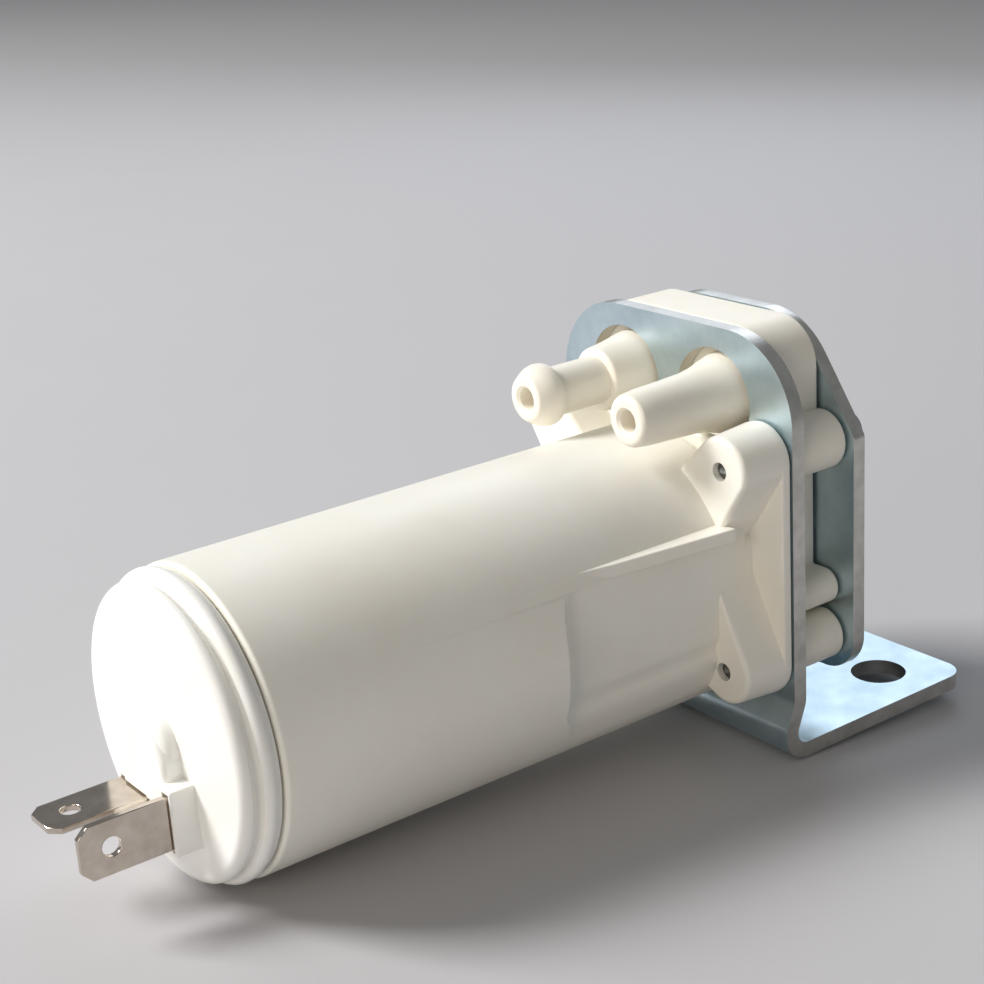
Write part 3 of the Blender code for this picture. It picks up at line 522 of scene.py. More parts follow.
@dataclass(frozen=True)
class MouldedNylon(Finish):
    """Unfilled nylon from a fine-sparked mould: a satin skin that light sinks into a little."""

    depth_mm: float = 0.8

    def special(self, shader: bpy.types.Node) -> None:
        """Let light sink in, most of all the red, as in natural nylon.

        Args:
            shader: The material's shader node.
        """
        shader.inputs["IOR"].default_value = 1.53
        shader.inputs["Subsurface Weight"].default_value = 0.12
        shader.inputs["Subsurface Radius"].default_value = (1.0, 0.7, 0.45)
        shader.inputs["Subsurface Scale"].default_value = self.depth_mm * MM


@dataclass(frozen=True)
class PlatedSteel(Finish):
    """Metal with a thin bright coat: reflections are soft and a little uneven."""

    metallic: float = 1.0
    roughness: float = 0.34


@dataclass(frozen=True)
class PlainMetal(Finish):
    """Bare metal, ground, drawn or stacked."""

    metallic: float = 1.0
    roughness: float = 0.4


# Pump finishes. Colours are light tone first, then dark tone.
HOUSING_NYLON = MouldedNylon("moulded_natural_nylon", "#FBF8EE", "#F6F1E4", roughness=0.4, blotch_mm=14.0)
CAP_NYLON = MouldedNylon("moulded_white_nylon", "#FBFAF6", "#F7F5EE", roughness=0.36, blotch_mm=10.0)
HEAD_NYLON = MouldedNylon("moulded_cream_nylon", "#FAF5E8", "#F6EFDF", roughness=0.42, blotch_mm=9.0,
                          depth_mm=1.2)
# Blue-passivated zinc on cold-rolled sheet: pale blue-grey with faint clouds and rolling lines.
ZINC_SHEET = PlatedSteel("blue_passivated_zinc", "#CFDFE6", "#B9CCD4", blotch_mm=5.0, grain_mm=0.5,
                         grain_depth_mm=0.006, stretch=(1.0, 1.0, 0.12), streaks=0.25)
# The sheared rim keeps drag lines across the thickness and a brownish, thinner coat.
SHEARED_RIM = PlatedSteel("sheared_zinc_rim", "#DCDAD4", "#C4C1BA", roughness=0.3, blotch_mm=2.4,
                          grain_mm=0.3, grain_depth_mm=0.015, stretch=(0.1, 1.0, 1.0), streaks=0.25)
# Hot-tinned brass strip: a warm bright gloss, nearly a mirror, with faint lines along the strip.
TINNED_BRASS = PlatedSteel("tinned_brass_strip", "#DCD3C8", "#C8BCAF", roughness=0.13, blotch_mm=2.2,
                           grain_mm=0.25, grain_depth_mm=0.003, stretch=(0.08, 1.0, 1.0), streaks=0.2)
SCREW_ZINC = PlatedSteel("zinc_plated_screw", "#B9BDBE", "#8C9092", roughness=0.3, blotch_mm=1.5)
INSIDE_FINISHES: dict[Finish, tuple[str, ...]] = {
    # Rolled ring of mild steel: dull grey with lines round the strip.
    PlainMetal("rolled_mild_steel", "#8E8F92", "#6D6E70", grain_depth_mm=0.01): ("flux_ring",),
    # Sintered ferrite: nearly black, matt and slightly gritty.
    Finish("sintered_ferrite", "#2B2B2E", "#1D1D20", roughness=0.75, blotch_mm=1.5,
           grain_depth_mm=0.03): ("magnet_upper", "magnet_lower"),
    # Sintered bronze: oil-dark brown gold with open pores.
    PlainMetal("sintered_bronze", "#A88052", "#7A5A38", roughness=0.5, blotch_mm=0.8, grain_mm=0.15,
               grain_depth_mm=0.02): ("rear_bearing", "front_bearing"),
    # Pressed phenolic paper: brown with a faint fibre.
    Finish("phenolic_paper_board", "#7A4A26", "#5C3519", roughness=0.5, blotch_mm=2.0, grain_mm=0.2,
           stretch=(1.0, 1.0, 0.2), streaks=0.4): ("brush_plate",),
    # Pressed carbon: charcoal with a soft graphite shine.
    Finish("pressed_carbon", "#3A3A3C", "#232325", roughness=0.42,
           blotch_mm=0.6): ("brush_near", "brush_far"),
    # Phosphor bronze strip: pinkish gold with rolling lines.
    PlainMetal("rolled_phosphor_bronze", "#C49A6C", "#A67B4E", roughness=0.32, blotch_mm=2.0,
               stretch=(0.1, 1.0, 1.0), streaks=0.3): ("brush_arm_near", "brush_arm_far"),
    # Ground steel: bright with fine lines round the piece.
    PlainMetal("ground_steel", "#C8C9CC", "#A6A8AC", roughness=0.22, blotch_mm=3.0, grain_mm=0.12,
               grain_depth_mm=0.002, stretch=(1.0, 0.1, 0.1)): ("motor_shaft", "idler_pin", "wear_plate"),
    # Stacked laminations: dark steel with a line every half millimetre along the stack.
    PlainMetal("stacked_laminations", "#5C5D62", "#2E2F33", roughness=0.5, blotch_mm=3.0, grain_mm=0.5,
               grain_depth_mm=0.05, stretch=(1.0, 0.05, 0.05), streaks=0.8): ("armature_core",),
    # Enamelled copper wire: amber-red gloss in fine parallel turns.
    PlainMetal("enamelled_copper_wire", "#B8632E", "#7E3B18", roughness=0.28, blotch_mm=2.0, grain_mm=0.35,
               grain_depth_mm=0.08, stretch=(0.15, 1.0, 1.0), streaks=0.6): ("armature_windings",),
    # Drawn copper: warm and worn bright by the brushes.
    PlainMetal("drawn_copper", "#C87A50", "#9C5836", roughness=0.3, blotch_mm=2.0): ("commutator",),
    # Machined acetal: cold white, slightly waxy.
    Finish("moulded_acetal", "#E4E5E3", "#D6D8D6", roughness=0.35,
           blotch_mm=4.0): ("drive_gear", "idler_gear"),
    # Moulded nitrile rubber: soft black with a dusty bloom.
    Finish("moulded_nitrile_rubber", "#2A2A2A", "#1B1B1B", roughness=0.7, blotch_mm=1.5,
           grain_depth_mm=0.02): ("shaft_seal", "cover_gasket"),
}


# Sizes shared by the sub-assemblies

@dataclass(frozen=True)
class Screws:
    """The four long screws that hold the pump together, and the holes made for them."""

    half_y: float = 16.2
    upper_z: float = 16.5
    lower_z: float = -9.2
    shank_r: float = 1.45
    pilot_r: float = 1.15
    head_r: float = 2.9
    head_t: float = 2.1
    seat: float = 86.7
    tip: float = 66.9
    point: float = 1.6
    pitch: float = 1.1
    thread: float = 0.22
    recess_arm: float = 1.6
    recess_half: float = 0.4
    recess_depth: float = 1.2
    nose_r: float = 0.25
    rim: float = 0.7
    rim_edge: float = 0.15
    dome_power: float = 0.6
    pilot_end: float = 0.6
    pilot_flare: float = 1.2

    def places(self) -> dict[str, Point]:
        """Return the name and (y, z) of each screw."""
        return {"near_upper": (-self.half_y, self.upper_z), "near_lower": (-self.half_y, self.lower_z),
                "far_upper": (self.half_y, self.upper_z), "far_lower": (self.half_y, self.lower_z)}

    def holes(self, low: float, high: float, pilot: bool = False) -> list[bmesh.types.BMesh]:
        """Make the cutters for all four holes.

        Args:
            low: Where the holes start.
            high: Where they end.
            pilot: Whether they are narrow where the screws' points show.

        Returns:
            One cutter for each screw.
        """
        radius = self.shank_r + GAP
        start = [(low, 0.0), (low, radius)]
        if pilot:
            start = [(low, 0.0), (low, self.pilot_r), (self.tip + self.pilot_end, self.pilot_r),
                     (self.tip + self.pilot_flare, radius)]
        return [turned([*start, (high, radius), (high, 0.0)], y, z, 32) for y, z in self.places().values()]

    def build(self, finish: bpy.types.Material) -> None:
        """Make the four screws: threaded shank, domed pan head and cross recess.

        Args:
            finish: The material.
        """
        for spot, (y, z) in self.places().items():
            start = self.tip + self.point
            profile = [(self.tip, 0.0), (self.tip, self.nose_r), (start, self.shank_r - self.thread)]
            turns = int((self.seat - start - 1.0) / self.pitch)
            for i in range(turns):
                x = start + i * self.pitch
                profile += [(x + self.pitch * 0.3, self.shank_r - self.thread),
                            (x + self.pitch * 0.5, self.shank_r),
                            (x + self.pitch * 0.7, self.shank_r - self.thread)]
            top = self.seat + self.head_t
            profile += [(self.seat, self.shank_r - self.thread), (self.seat, self.head_r - self.rim_edge),
                        (self.seat + self.rim_edge, self.head_r), (self.seat + self.rim, self.head_r)]
            profile += [(self.seat + self.rim + (self.head_t - self.rim) * math.sin(a),
                         self.head_r * math.cos(a) ** self.dome_power)
                        for a in (math.radians(15 * k) for k in range(1, 6))]
            profile += [(top, 0.0)]
            recess = (top - self.recess_depth, top + THROUGH)
            arm, slot = self.recess_arm, self.recess_half
            screw = Piece(f"pan_screw_{spot}", turned(profile, y, z, 40))
            screw.change(Change.CUT, block(recess, (y - arm, y + arm), (z - slot, z + slot)),
                         block(recess, (y - slot, y + slot), (z - arm, z + arm)))
            screw.dress(finish, f"screw_{spot}")


@dataclass
class MotorHousing:
    """The nylon barrel with its side flats, flange and four screw bosses."""

    screws: Screws
    outer_r: float = 18.0
    bore_r: float = 14.6
    start: float = 4.4
    shoulder: float = 71.1
    neck_r: float = 16.6
    flange: Point = (72.3, 73.7)
    flange_top: float = 17.7
    notch_y: float = 11.0
    corner_r: float = 4.6
    flat_y: float = 15.6
    flat_start: float = 41.5
    flat_full: float = 45.2
    flat_depth: float = 2.7
    boss_r: float = 4.2
    boss_face: float = 66.6

    def _barrel(self) -> bmesh.types.BMesh:
        """The turned body, with rounded ends and a shallow neck behind the flange."""
        edge = 0.5
        front = arc((self.start + edge, self.outer_r - edge), edge, 180, 90, 4)
        back = arc((self.shoulder - edge, self.outer_r - edge), edge, 90, 0, 4)
        middle = sum(self.flange) / 2
        return turned([(self.start, 0.0), *front, *back, (self.shoulder, self.neck_r), (middle, self.neck_r),
                       (middle, 0.0)], steps=160)

    def _flat(self, outline: list[Point], outward: float) -> bmesh.types.BMesh:
        """Make the cutter for one flat, which sweeps down from the barrel's skin in a quarter ellipse.

        Args:
            outline: The cutter's outline as (y, z).
            outward: 1 for the far side, -1 for the near side.

        Returns:
            A closed shape.
        """
        shape = prism(outline, self.flat_full, self.flange[0])
        face = min(shape.faces, key=lambda f: f.calc_center_median().x)
        length, steps = self.flat_full - self.flat_start, 7
        sweep = [(length * math.sin(a), self.flat_depth * (1 - math.cos(a)))
                 for a in (math.radians(90 * k / steps) for k in range(steps + 1))]
        for before, after in zip(sweep, sweep[1:]):
            lead = bmesh.ops.extrude_face_region(shape, geom=[face])["geom"]
            bmesh.ops.delete(shape, geom=[face], context="FACES_ONLY")
            move = Vector((before[0] - after[0], outward * (after[1] - before[1]), 0)) * MM
            bmesh.ops.translate(shape, vec=move,
                                verts=[item for item in lead if isinstance(item, bmesh.types.BMVert)])
            face = next(item for item in lead if isinstance(item, bmesh.types.BMFace))
        return close_up(shape)

    def _flats(self) -> list[bmesh.types.BMesh]:
        """Cutters for both flats and the soft hollows under them."""
        clear = self.outer_r + THROUGH
        near = [(-self.flat_y, 8.1), (-self.flat_y, -4.5), (-15.2, -5.6), (-14.9, -6.4), (-15.0, -7.1),
                (-15.3, -7.9), (-14.9, -9.2), (-13.9, -11.2), (-12.5, -13.2), (-clear, -13.2), (-clear, 8.1)]
        return [self._flat(near, -1.0), self._flat(mirrored(near), 1.0)]

    def _upper_boss(self) -> list[Point]:
        """Outline of the near upper boss and its web to the barrel."""
        centre = Vector((-self.screws.half_y, self.screws.upper_z))
        inward = -centre.normalized()
        lean = math.degrees(math.atan2(inward.y, inward.x))
        reach = centre.length - self.bore_r - self.boss_r / 2
        top = Vector(arc(tuple(centre), self.boss_r, lean + 90, lean + 90, 1)[0]) + inward * reach
        return arc(tuple(centre), self.boss_r, lean + 90, lean + 245, 28) + [
            (-self.flat_y + GAP, 7.8), (-self.flat_y * 0.65, 7.8), tuple(top)]

    def _lower_boss(self) -> list[Point]:
        """Outline of the near lower boss and its web up the flat."""
        inner = -self.bore_r + self.boss_r / 2
        low = self.screws.lower_z
        return arc((-self.screws.half_y, low), self.boss_r, 157, 290, 26) + [
            (inner, low - self.boss_r * 0.7), (inner, 3.0), (-self.flat_y + 0.9, 3.0)]

    def _flange(self) -> list[Point]:
        """Outline of the flange, lower between its upper corners."""
        half_y, upper, lower = self.screws.half_y, self.screws.upper_z, self.screws.lower_z
        right = arc((half_y, lower), self.corner_r, -90, 0) + arc((half_y, upper), self.corner_r, 0, 150, 26)
        right += [(self.notch_y, self.flange_top)]
        return right + mirrored(right)

    def _drafted_boss(self, outline: list[Point], centre: Point) -> bmesh.types.BMesh:
        """Make a boss that widens slightly towards the flange, with a soft rim round its face.

        Args:
            outline: The boss's outline as (y, z).
            centre: The axis of its screw, as (y, z).

        Returns:
            A closed shape.
        """
        shape = prism(outline, self.boss_face, self.flange[0] + 0.5)
        face_x = DATUM.x + (self.boss_face + 0.1) * MM
        edges = [e for e in shape.edges if all(v.co.x < face_x for v in e.verts)]
        bmesh.ops.bevel(shape, geom=edges, offset=0.7 * MM, offset_type="OFFSET", affect="EDGES", segments=4,
                        profile=0.5, material=-1, clamp_overlap=True)
        pivot = Vector((0, centre[0], centre[1])) * MM + DATUM
        for vert in shape.verts:
            if vert.co.x > DATUM.x + (self.flange[0] - 1.0) * MM:
                vert.co.yz = pivot.yz + (vert.co.yz - pivot.yz) * 1.1
        return shape

    def _rib(self, side: float) -> bmesh.types.BMesh:
        """Make the slim rib along the top of a flat, which rises out of the barrel towards the upper boss.

        Args:
            side: 1 for the far side, -1 for the near side.

        Returns:
            A closed shape.
        """
        outline = [(42.5, side * 15.0), (50.0, side * 16.1), (self.boss_face + 1.0, side * 17.9),
                   (self.boss_face + 1.0, side * 14.8)]
        return soften(prism(outline, 7.9, 9.6, Axis.Z), 0.25)

    def build(self, finish: bpy.types.Material) -> None:
        """Make the housing.

        Args:
            finish: The material.
        """
        housing = Piece("moulded_motor_housing", self._barrel())
        housing.change(Change.CUT, *self._flats())
        housing.change(Change.JOIN, self._rib(-1.0), self._rib(1.0))
        housing.change(Change.JOIN, soften(prism(self._flange(), *self.flange), 0.3))
        for outline, centre in ((self._upper_boss(), (-self.screws.half_y, self.screws.upper_z)),
                                (self._lower_boss(), (-self.screws.half_y, self.screws.lower_z))):
            housing.change(Change.JOIN, self._drafted_boss(outline, centre),
                           self._drafted_boss(mirrored(outline), (-centre[0], centre[1])))
        housing.change(Change.CUT, rod(self.bore_r, self.start - THROUGH, 69.0, steps=96),
                       rod(5.3, 67.0, 71.7), rod(2.1, 69.0, 80.0), rod(6.2, 72.3, 80.0))
        housing.change(Change.CUT,
                       *self.screws.holes(self.boss_face - THROUGH, self.flange[1] + THROUGH, True))
        housing.dress(finish, "motor_housing")


@dataclass
class EndCap:
    """The white end cap with its rounded rim, ridge and the block that holds the blades."""

    crown: float = 0.6
    rim_r: float = 17.0
    groove_r: float = 16.35
    ridge_r: float = 17.9
    end: float = 4.1
    spigot_r: float = 14.3
    spigot_end: float = 8.0
    floor: float = 1.6
    blade_z: float = -6.95
    near_y: float = -5.9
    far_y: float = 3.5
    block_low: float = -10.8
    slot_half: float = 0.7
    slot_reach: float = 3.45
    slot_start: float = -9.0

    def _profile(self) -> list[Point]:
        """Profile from the outside centre, over the rim and ridge, to the inside floor."""
        dome = [(-self.crown + 0.3 * (i / 8) ** 2, 15.2 * i / 8) for i in range(9)]
        rim = arc((0.9, self.rim_r - 1.2), 1.2, 180, 90, 8)
        ridge = arc((self.end - 1.2, self.ridge_r - 1.0), 1.0, 150, 40, 8)
        groove = [(1.35, self.groove_r + 0.3), (1.75, self.groove_r), (2.05, self.groove_r + 0.25)]
        inner = self.spigot_r - 1.8
        return dome + rim + groove + ridge + [
            (self.end, self.ridge_r - 0.5), (self.end, self.spigot_r), (self.spigot_end, self.spigot_r),
            (self.spigot_end, inner), (self.floor, inner), (self.floor, 5.6), (4.9, 5.6), (4.9, 4.2),
            (self.floor, 4.2), (self.floor, 0.0)]

    def build(self, finish: bpy.types.Material) -> None:
        """Make the cap.

        Args:
            finish: The material.
        """
        cap = Piece("moulded_end_cap", turned(self._profile(), steps=160))
        inside = self.floor - GAP
        low, slot, reach = self.block_low, self.slot_half, self.slot_reach
        pad = [(4.0, self.blade_z)] + arc((-0.3, -0.8), 4.2, 0, 180, 24) + [(-4.6, self.blade_z)]
        mound = soften(prism(pad, -2.3, inside), 1.2, 6)
        brow = [(5.6, self.blade_z)] + arc((0.2, -3.2), 5.2, 20, 160, 20) + [(-5.0, self.blade_z)]
        step = soften(prism(brow, -2.9, inside), 0.7, 4)
        cap.change(Change.JOIN, mound, step)
        cap.change(Change.JOIN, block((-3.5, inside), (-7.0, -2.9), (low, -3.1), 0.3))
        cap.change(Change.JOIN, block((-5.2, inside), (-3.2, 7.3), (low, self.blade_z - slot), 0.3))
        cap.change(Change.JOIN, block((-2.6, inside), (-3.5, 7.0), (self.blade_z - 1.2, -4.2), 0.3))
        span = (self.slot_start, self.floor + THROUGH)
        cap.change(Change.CUT, block(span, (self.near_y - slot, self.near_y + slot),
                                     (self.blade_z - reach, self.blade_z + reach)),
                   block(span, (self.far_y - reach, self.far_y + reach),
                         (self.blade_z - slot, self.blade_z + slot)))
        cap.dress(finish, "end_cap")


@dataclass
class Blades:
    """The two tinned 6.3 mm blades."""

    cap: EndCap
    width: float = 6.3
    thickness: float = 0.8
    tip: float = -13.85
    end: float = 7.0
    chamfer: float = 1.2
    hole_r: float = 1.1
    hole_x: float = -10.2
    edge: float = 0.13

    def _blade(self, name: str, node: str, axis: Axis, centre: float, level: float,
               finish: bpy.types.Material) -> None:
        """Stamp one blade, with its latch hole.

        Args:
            name: Name of the piece.
            node: The CAD node that it replaces.
            axis: The axis that its thickness runs along.
            centre: Middle of its width.
            level: Middle of its thickness.
            finish: The material.
        """
        half = self.width / 2
        start, corner = self.tip + self.chamfer, half - self.chamfer
        outline = [(self.tip, centre - corner), (start, centre - half), (self.end, centre - half),
                   (self.end, centre + half), (start, centre + half), (self.tip, centre + corner)]
        low, high = level - self.thickness / 2, level + self.thickness / 2
        blade = Piece(name, prism(outline, low, high, axis))
        hole = arc((self.hole_x, centre), self.hole_r, 0, 360, 48)[:-1]
        blade.change(Change.CUT, prism(hole, low - THROUGH, high + THROUGH, axis))
        blade.ease(self.edge, 3)
        blade.dress(finish, node)

    def build(self, finish: bpy.types.Material) -> None:
        """Make both blades: one on edge and one flat.

        Args:
            finish: The material.
        """
        cap = self.cap
        self._blade("tinned_blade_upright", "terminal_blade_near", Axis.Y, cap.blade_z, -cap.near_y, finish)
        self._blade("tinned_blade_flat", "terminal_blade_far", Axis.Z, cap.far_y, cap.blade_z, finish)


@dataclass
class Plates:
    """The two zinc-plated plates: the front one is bent into the foot."""

    screws: Screws
    half_w: float = 20.8
    thickness: float = 2.0
    front: float = 74.0
    back: float = 84.4
    top: float = 31.1
    slant_z: float = -14.6
    slant: float = 2.6
    foot_z: float = -22.3
    foot_end: float = 106.0
    bend_r: float = 2.6
    edge: float = 0.16
    port_y: float = 8.1
    port_z: float = 22.6
    port_hole_r: float = 6.4
    corner_r: float = 10.7
    foot_corner_r: float = 3.0
    foot_hole_r: float = 3.6
    hub_hole_r: float = 5.9
    port_hole_shift: Point = (0.7, -0.6)
    kink_z: float = 17.3
    kink_angle: float = 55.0
    foot_holes: list[Point] = field(default_factory=lambda: [(97.5, -13.1), (97.5, 13.1)])

    @staticmethod
    def _edge_rim(item: bpy.types.Object, rim: bpy.types.Material,
                  is_rim: Callable[[Vector, Vector], bool]) -> None:
        """Give the rim faces their own finish.

        Args:
            item: The finished plate.
            rim: The material of the rim.
            is_rim: Whether a face at this place, with this normal, is part of the rim.
        """
        item.data.materials.append(rim)
        for face in item.data.polygons:
            if is_rim(face.center - DATUM, face.normal):
                face.material_index = 1

    def _strip(self) -> bmesh.types.BMesh:
        """The bent strip's middle surface, a little wider and longer than the finished plate."""
        middle, knee = self.front + self.thickness / 2, self.front + self.thickness / 2 - self.slant
        low = self.foot_z + self.thickness / 2
        path = rounded([((middle, self.top + THROUGH), 0), ((middle, self.slant_z), self.bend_r),
                        ((knee, low), self.bend_r), ((self.foot_end + THROUGH, low), 0)], 14)
        width = self.half_w + 2 * THROUGH
        shape = bmesh.new()
        line = [shape.verts.new(Vector((x, -width, z)) * MM + DATUM) for x, z in path]
        edges = [shape.edges.new(pair) for pair in zip(line, line[1:])]
        swept = bmesh.ops.extrude_edge_only(shape, edges=edges)["geom"]
        bmesh.ops.translate(shape, vec=(0, 2 * width * MM, 0),
                            verts=[item for item in swept if isinstance(item, bmesh.types.BMVert)])
        return shape

    def build_bracket(self, finish: bpy.types.Material, rim: bpy.types.Material) -> None:
        """Make the front plate and foot.

        Args:
            finish: The material of the faces.
            rim: The material of the sheared edges.
        """
        wide, low = self.half_w + THROUGH, self.foot_z
        face = rounded([((-wide, low - THROUGH), 0), ((wide, low - THROUGH), 0), ((wide, low + THROUGH), 0),
                        ((self.half_w, low + THROUGH), 0), ((self.half_w, self.top), self.corner_r),
                        ((-self.half_w, self.top), self.corner_r), ((-self.half_w, low + THROUGH), 0),
                        ((-wide, low + THROUGH), 0)], 28)
        start = self.front - self.slant - THROUGH
        plan = rounded([((start, -self.half_w), 0), ((self.foot_end, -self.half_w), self.foot_corner_r),
                        ((self.foot_end, self.half_w), self.foot_corner_r), ((start, self.half_w), 0)])
        bracket = Piece("bent_mounting_plate", self._strip()).sheet(self.thickness)
        bracket.change(Change.KEEP, prism(face, start, self.foot_end + THROUGH))
        bracket.change(Change.KEEP, prism(plan, low - THROUGH, self.top + THROUGH, Axis.Z))
        span = (self.front - THROUGH, self.front + self.thickness + THROUGH)
        aside, down = self.port_hole_shift
        holes = [rod(self.port_hole_r, *span, y=y + aside, z=self.port_z + down, steps=96)
                 for y in (-self.port_y, self.port_y)]
        holes += [upright_rod(self.foot_hole_r, low - THROUGH, low + self.thickness + THROUGH, x, y)
                  for x, y in self.foot_holes]
        bracket.change(Change.CUT, *holes, rod(self.hub_hole_r, *span), *self.screws.holes(*span))
        bracket.ease(self.edge)
        item = bracket.dress(finish, "mounting_bracket")

        def is_rim(place: Vector, normal: Vector) -> bool:
            """Return whether a face is on the strip's sheared edge."""
            upright = place.z > (self.slant_z - 1.0) * MM
            foot = place.x > (self.front + self.thickness + 1.0) * MM
            return abs(normal.y) > 0.6 or (upright and abs(normal.x) < 0.6) or (foot and abs(normal.z) < 0.6)

        self._edge_rim(item, rim, is_rim)

    def build_back(self, finish: bpy.types.Material, rim: bpy.types.Material) -> None:
        """Make the back plate.

        Args:
            finish: The material of the faces.
            rim: The material of the sheared edges.
        """
        kink = self.kink_z
        run = (self.top - kink) / math.tan(math.radians(self.kink_angle))
        right = [((self.half_w, self.screws.lower_z - 4.9), 4.9), ((self.half_w, kink), 1.0),
                 ((self.half_w - run, self.top), 10.8)]
        corners = right + [((-y, z), radius) for (y, z), radius in reversed(right)]
        plate = Piece("rear_cover_plate", prism(rounded(corners, 20), self.back, self.back + self.thickness))
        plate.change(Change.CUT,
                     *self.screws.holes(self.back - THROUGH, self.back + self.thickness + THROUGH))
        plate.ease(self.edge)
        item = plate.dress(finish, "back_plate")
        self._edge_rim(item, rim, lambda place, normal: abs(normal.x) < 0.6)


@dataclass
class PumpHead:
    """The cream nylon body between the plates, with its columns and hose ports."""

    screws: Screws
    front: float = 76.3
    back: float = 84.1
    top: float = 31.1
    half_w: float = 14.5
    block_half: float = 15.2
    shoulder_z: float = -4.9
    lug_h: float = 4.5
    lug_reach: float = 18.7
    sump_r: float = 10.8
    port_y: float = 8.1
    port_z: float = 22.6
    barb_tip: float = 57.2
    plain_tip: float = 59.5
    bore_r: float = 1.4
    bore_lip: float = 0.35
    upper_column_r: float = 3.7
    lower_column_r: float = 3.3
    gear_r: float = 7.15
    gear_gap: float = 12.0

    def _outline(self) -> list[Point]:
        """Outline of the body: port block, straight sides, lugs and round sump."""
        meet = math.degrees(math.asin((0.8 - self.shoulder_z) / self.sump_r))
        lug_r = self.lug_h / 2
        right = arc((0, 0), self.sump_r, -90, -meet)
        right += arc((self.lug_reach - lug_r, self.shoulder_z + lug_r), lug_r, -90, 90)
        right += [(self.half_w, self.shoulder_z + self.lug_h), (self.half_w, 18.0), (self.block_half, 18.7)]
        right += arc((self.block_half - 5.8, self.top - 5.8), 5.8, 0, 90)
        return right + mirrored(right)[:-1]

    def _column(self, y: float, z: float) -> bmesh.types.BMesh:
        """Make the column round one screw, which is thicker at the top than at the bottom."""
        radius = self.upper_column_r if z > 0 else self.lower_column_r
        return soften(rod(radius, self.front, self.back, y, z, 64), 0.3)

    def _barbed_port(self) -> bmesh.types.BMesh:
        """Port with one barb: rounded nose, sharp back edge, plain stem and a flared base."""
        nose = self.barb_tip
        profile = [(nose, 0.0), (nose, 2.3), *arc((nose + 0.6, 2.45), 0.6, 180, 115, 4), (58.2, 3.42),
                   (58.9, 3.78), (59.6, 3.95), (60.2, 3.93), (60.6, 3.8), (60.8, 3.5), (60.8, 3.1),
                   (68.45, 3.1), *arc((69.0, 3.6), 0.5, 180, 90, 4), (71.5, 4.45), (74.5, 5.05),
                   (76.0, 5.2), (77.3, 5.2), (77.3, 0.0)]
        return turned(profile, self.port_y, self.port_z, 80)

    def _plain_port(self) -> bmesh.types.BMesh:
        """Port without a barb: rounded nose and a long taper that flares at its base."""
        nose = self.plain_tip
        profile = [(nose, 0.0), (nose, 2.3), *arc((nose + 0.9, 2.4), 0.9, 180, 110, 5), (61.9, 3.45),
                   (66.0, 3.6), (69.5, 3.78), (71.5, 4.1), (73.5, 4.65), (75.2, 5.1), (76.2, 5.2),
                   (77.3, 5.2), (77.3, 0.0)]
        return turned(profile, -self.port_y, self.port_z, 80)

    def build(self, finish: bpy.types.Material) -> None:
        """Make the body. The chamber and channels inside it are cut as in the CAD node.

        Args:
            finish: The material.
        """
        head = Piece("moulded_pump_head", soften(prism(self._outline(), self.front, self.back), 0.35))
        head.change(Change.JOIN, *[self._column(y, z) for y, z in self.screws.places().values()])
        web = (self.screws.lower_z - 1.3, self.screws.lower_z + 1.3)
        side = (-self.screws.half_y, self.screws.half_y)
        head.change(Change.JOIN, block((self.front + GAP, self.back - GAP), side, web))
        head.change(Change.JOIN, rod(5.6, 72.6, self.front + 1.0))
        head.change(Change.JOIN, self._barbed_port(), self._plain_port())
        seat = self.back - 1.7
        cover = arc((0, 0), 8.4, -90, -19.5, 10) + [(12.3, -2.0), (12.3, 25.4)]
        head.change(Change.CUT, prism(cover + mirrored(cover)[:-1], seat, self.back + THROUGH),
                    *[rod(self.gear_r, self.front + 2.0, seat + GAP, z=z, steps=64)
                      for z in (0.0, self.gear_gap)])
        for y in (-self.port_y, self.port_y):
            side = math.copysign(1.0, y)
            depth = (self.front + 2.3, seat + GAP)
            across = tuple(sorted((side * 8.4, side * 11.4)))
            head.change(Change.CUT, block(depth, tuple(sorted((side * 4.75, side * 11.4))), (4.2, 7.9)),
                        block(depth, across, (4.5, 24.2)),
                        block(depth, tuple(sorted((side * 6.4, side * 11.4))), (20.8, 24.5)))
            nose = self.barb_tip if y > 0 else self.plain_tip
            mouth = self.bore_r + self.bore_lip
            bore = [(nose - THROUGH, 0.0), (nose - THROUGH, mouth), (nose, mouth),
                    (nose + self.bore_lip, self.bore_r), (self.front + 3.0, self.bore_r),
                    (self.front + 3.0, 0.0)]
            head.change(Change.CUT, turned(bore, y, self.port_z, 48))
        head.change(Change.CUT, *self.screws.holes(self.front - THROUGH, self.back + THROUGH),
                    rod(4.5, 70.6, 75.6), rod(1.8, 72.6, 80.3), rod(1.8, 77.0, 80.3, z=self.gear_gap))
        head.dress(finish, "pump_body")


# Stage

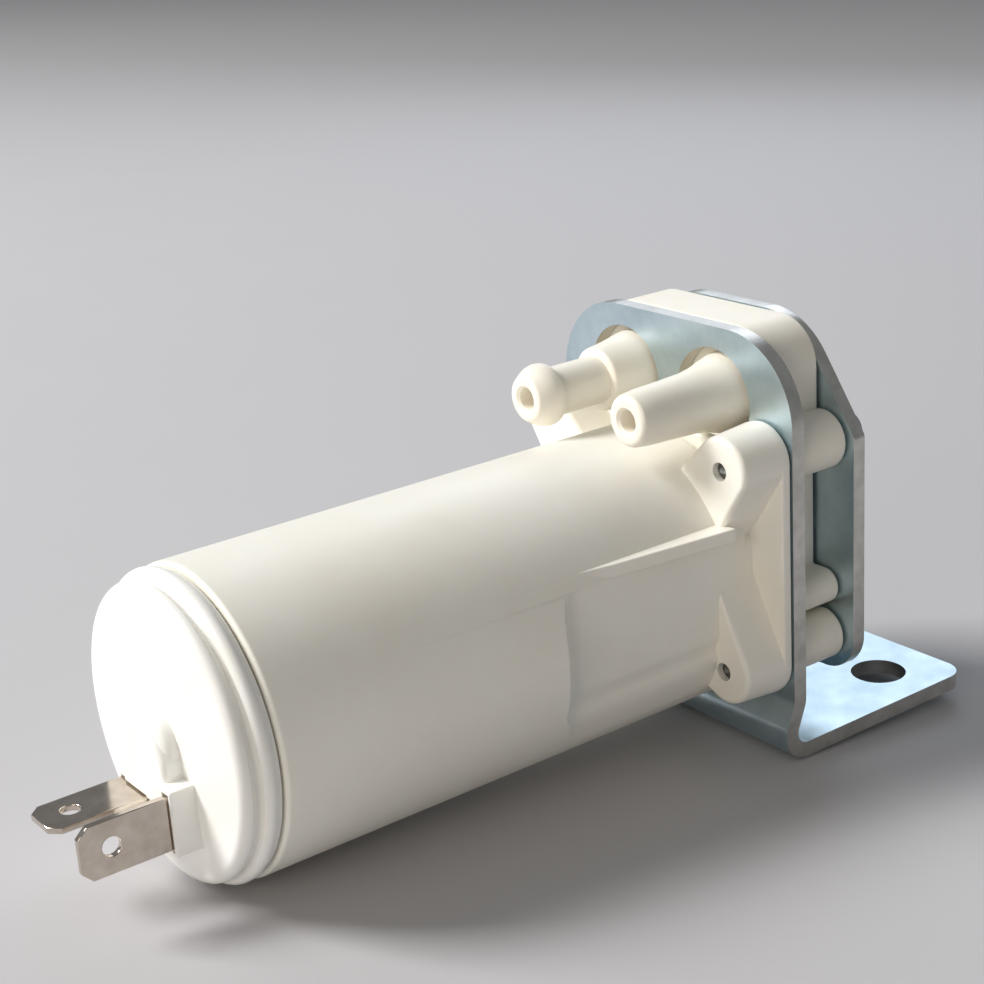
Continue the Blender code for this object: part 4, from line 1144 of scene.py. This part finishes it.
@dataclass
class Studio:
    """Floor, lights and camera."""

    floor_colour: str = "#C4C2C3"
    aim: tuple[float, float, float] = (-0.66, 0.0, 37.92)
    azimuth: float = -125.95
    elevation: float = 19.48
    roll: float = -3.72
    distance: float = 226.2
    lens: float = 70.5

    def floor(self) -> None:
        """Lay a pale floor under the bend of the bracket and the end cap's rim, where the pump rests."""
        bend = Vector((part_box("mounting_bracket")[0].x + 1.0 * MM, 0.0, 0.0))
        rim = Vector((DATUM.x + 2.9 * MM, 0.0, AXIS_HEIGHT - 18.0 * MM))
        slope = math.atan2(rim.z - bend.z, bend.x - rim.x)
        shape = bmesh.new()
        bmesh.ops.create_grid(shape, x_segments=1, y_segments=1, size=3.0)
        lay = Matrix.Translation(bend) @ Matrix.Rotation(slope, 4, "Y")
        bmesh.ops.transform(shape, matrix=lay, verts=shape.verts)
        bmesh.ops.translate(shape, vec=(0, 0, -0.15 * MM), verts=shape.verts)
        mesh = bpy.data.meshes.new("studio_floor")
        shape.to_mesh(mesh)
        shape.free()
        plane = bpy.data.objects.new("studio_floor", mesh)
        bpy.context.scene.collection.objects.link(plane)
        # Matt painted board: even, pale and without shine.
        board = Finish("matt_painted_board", self.floor_colour, self.floor_colour, roughness=0.75,
                       blotch_mm=40.0)
        mesh.materials.append(board.make())

    def lights(self) -> None:
        """Set up a large key from above the terminals' side, a fill, a rim light and a pale sky."""
        for name, place, size, power, tint in (
                ("key", (-1.00, 0.84, 1.16), 0.60, 33.0, "#FFFFFF"),
                ("fill", (-0.66, -0.30, 0.26), 0.35, 1.1, "#FFF2E2"),
                ("rim", (0.55, 0.45, 0.45), 0.40, 1.0, "#E8F2FF")):
            lamp = bpy.data.lights.new(name, "AREA")
            lamp.size = size
            lamp.energy = power
            lamp.color = linear(tint)[:3]
            item = bpy.data.objects.new(name, lamp)
            item.location = place
            item.rotation_euler = (Vector((0, 0, 0.02)) - Vector(place)).to_track_quat("-Z", "Y").to_euler()
            bpy.context.scene.collection.objects.link(item)
        world = bpy.data.worlds.new("studio_sky")
        world.use_nodes = True
        sky = world.node_tree.nodes["Background"]
        sky.inputs["Color"].default_value = linear("#E9ECEF")
        sky.inputs["Strength"].default_value = 0.27
        bpy.context.scene.world = world
        bpy.context.scene.view_settings.view_transform = "Standard"

    def camera(self) -> None:
        """Aim the camera from the terminals' side."""
        turn, rise = math.radians(self.azimuth), math.radians(self.elevation)
        back = Vector((math.cos(turn) * math.cos(rise), math.sin(turn) * math.cos(rise), math.sin(rise)))
        data = bpy.data.cameras.new("camera")
        data.lens = self.lens
        data.sensor_width = 36.0
        data.clip_start = 0.01
        item = bpy.data.objects.new("camera", data)
        item.location = Vector(self.aim) * MM + back * self.distance * MM
        item.rotation_mode = "QUATERNION"
        upright = (-back).to_track_quat("-Z", "Y")
        item.rotation_quaternion = upright @ Quaternion((0, 0, 1), math.radians(self.roll))
        bpy.context.scene.collection.objects.link(item)
        bpy.context.scene.camera = item


def dress_inside() -> None:
    """Give the CAD nodes inside the pump their own finishes."""
    for finish, nodes in INSIDE_FINISHES.items():
        material = finish.make()
        for name in nodes:
            slots = frame["nodes"][name].material_slots
            slots[0].link = "OBJECT"
            slots[0].material = material
            log.info("%s: %s", name, material.name)


def main() -> None:
    """Build the pump's looks and its stage."""
    logging.basicConfig(level=logging.INFO, format="%(name)s %(message)s")
    screws = Screws()
    cap = EndCap()
    plates = Plates(screws)
    zinc, rim = ZINC_SHEET.make(), SHEARED_RIM.make()
    MotorHousing(screws).build(HOUSING_NYLON.make())
    cap.build(CAP_NYLON.make())
    Blades(cap).build(TINNED_BRASS.make())
    plates.build_bracket(zinc, rim)
    plates.build_back(zinc, rim)
    PumpHead(screws).build(HEAD_NYLON.make())
    screws.build(SCREW_ZINC.make())
    dress_inside()
    studio = Studio()
    studio.floor()
    studio.lights()
    studio.camera()


if __name__ == "__main__":
    main()
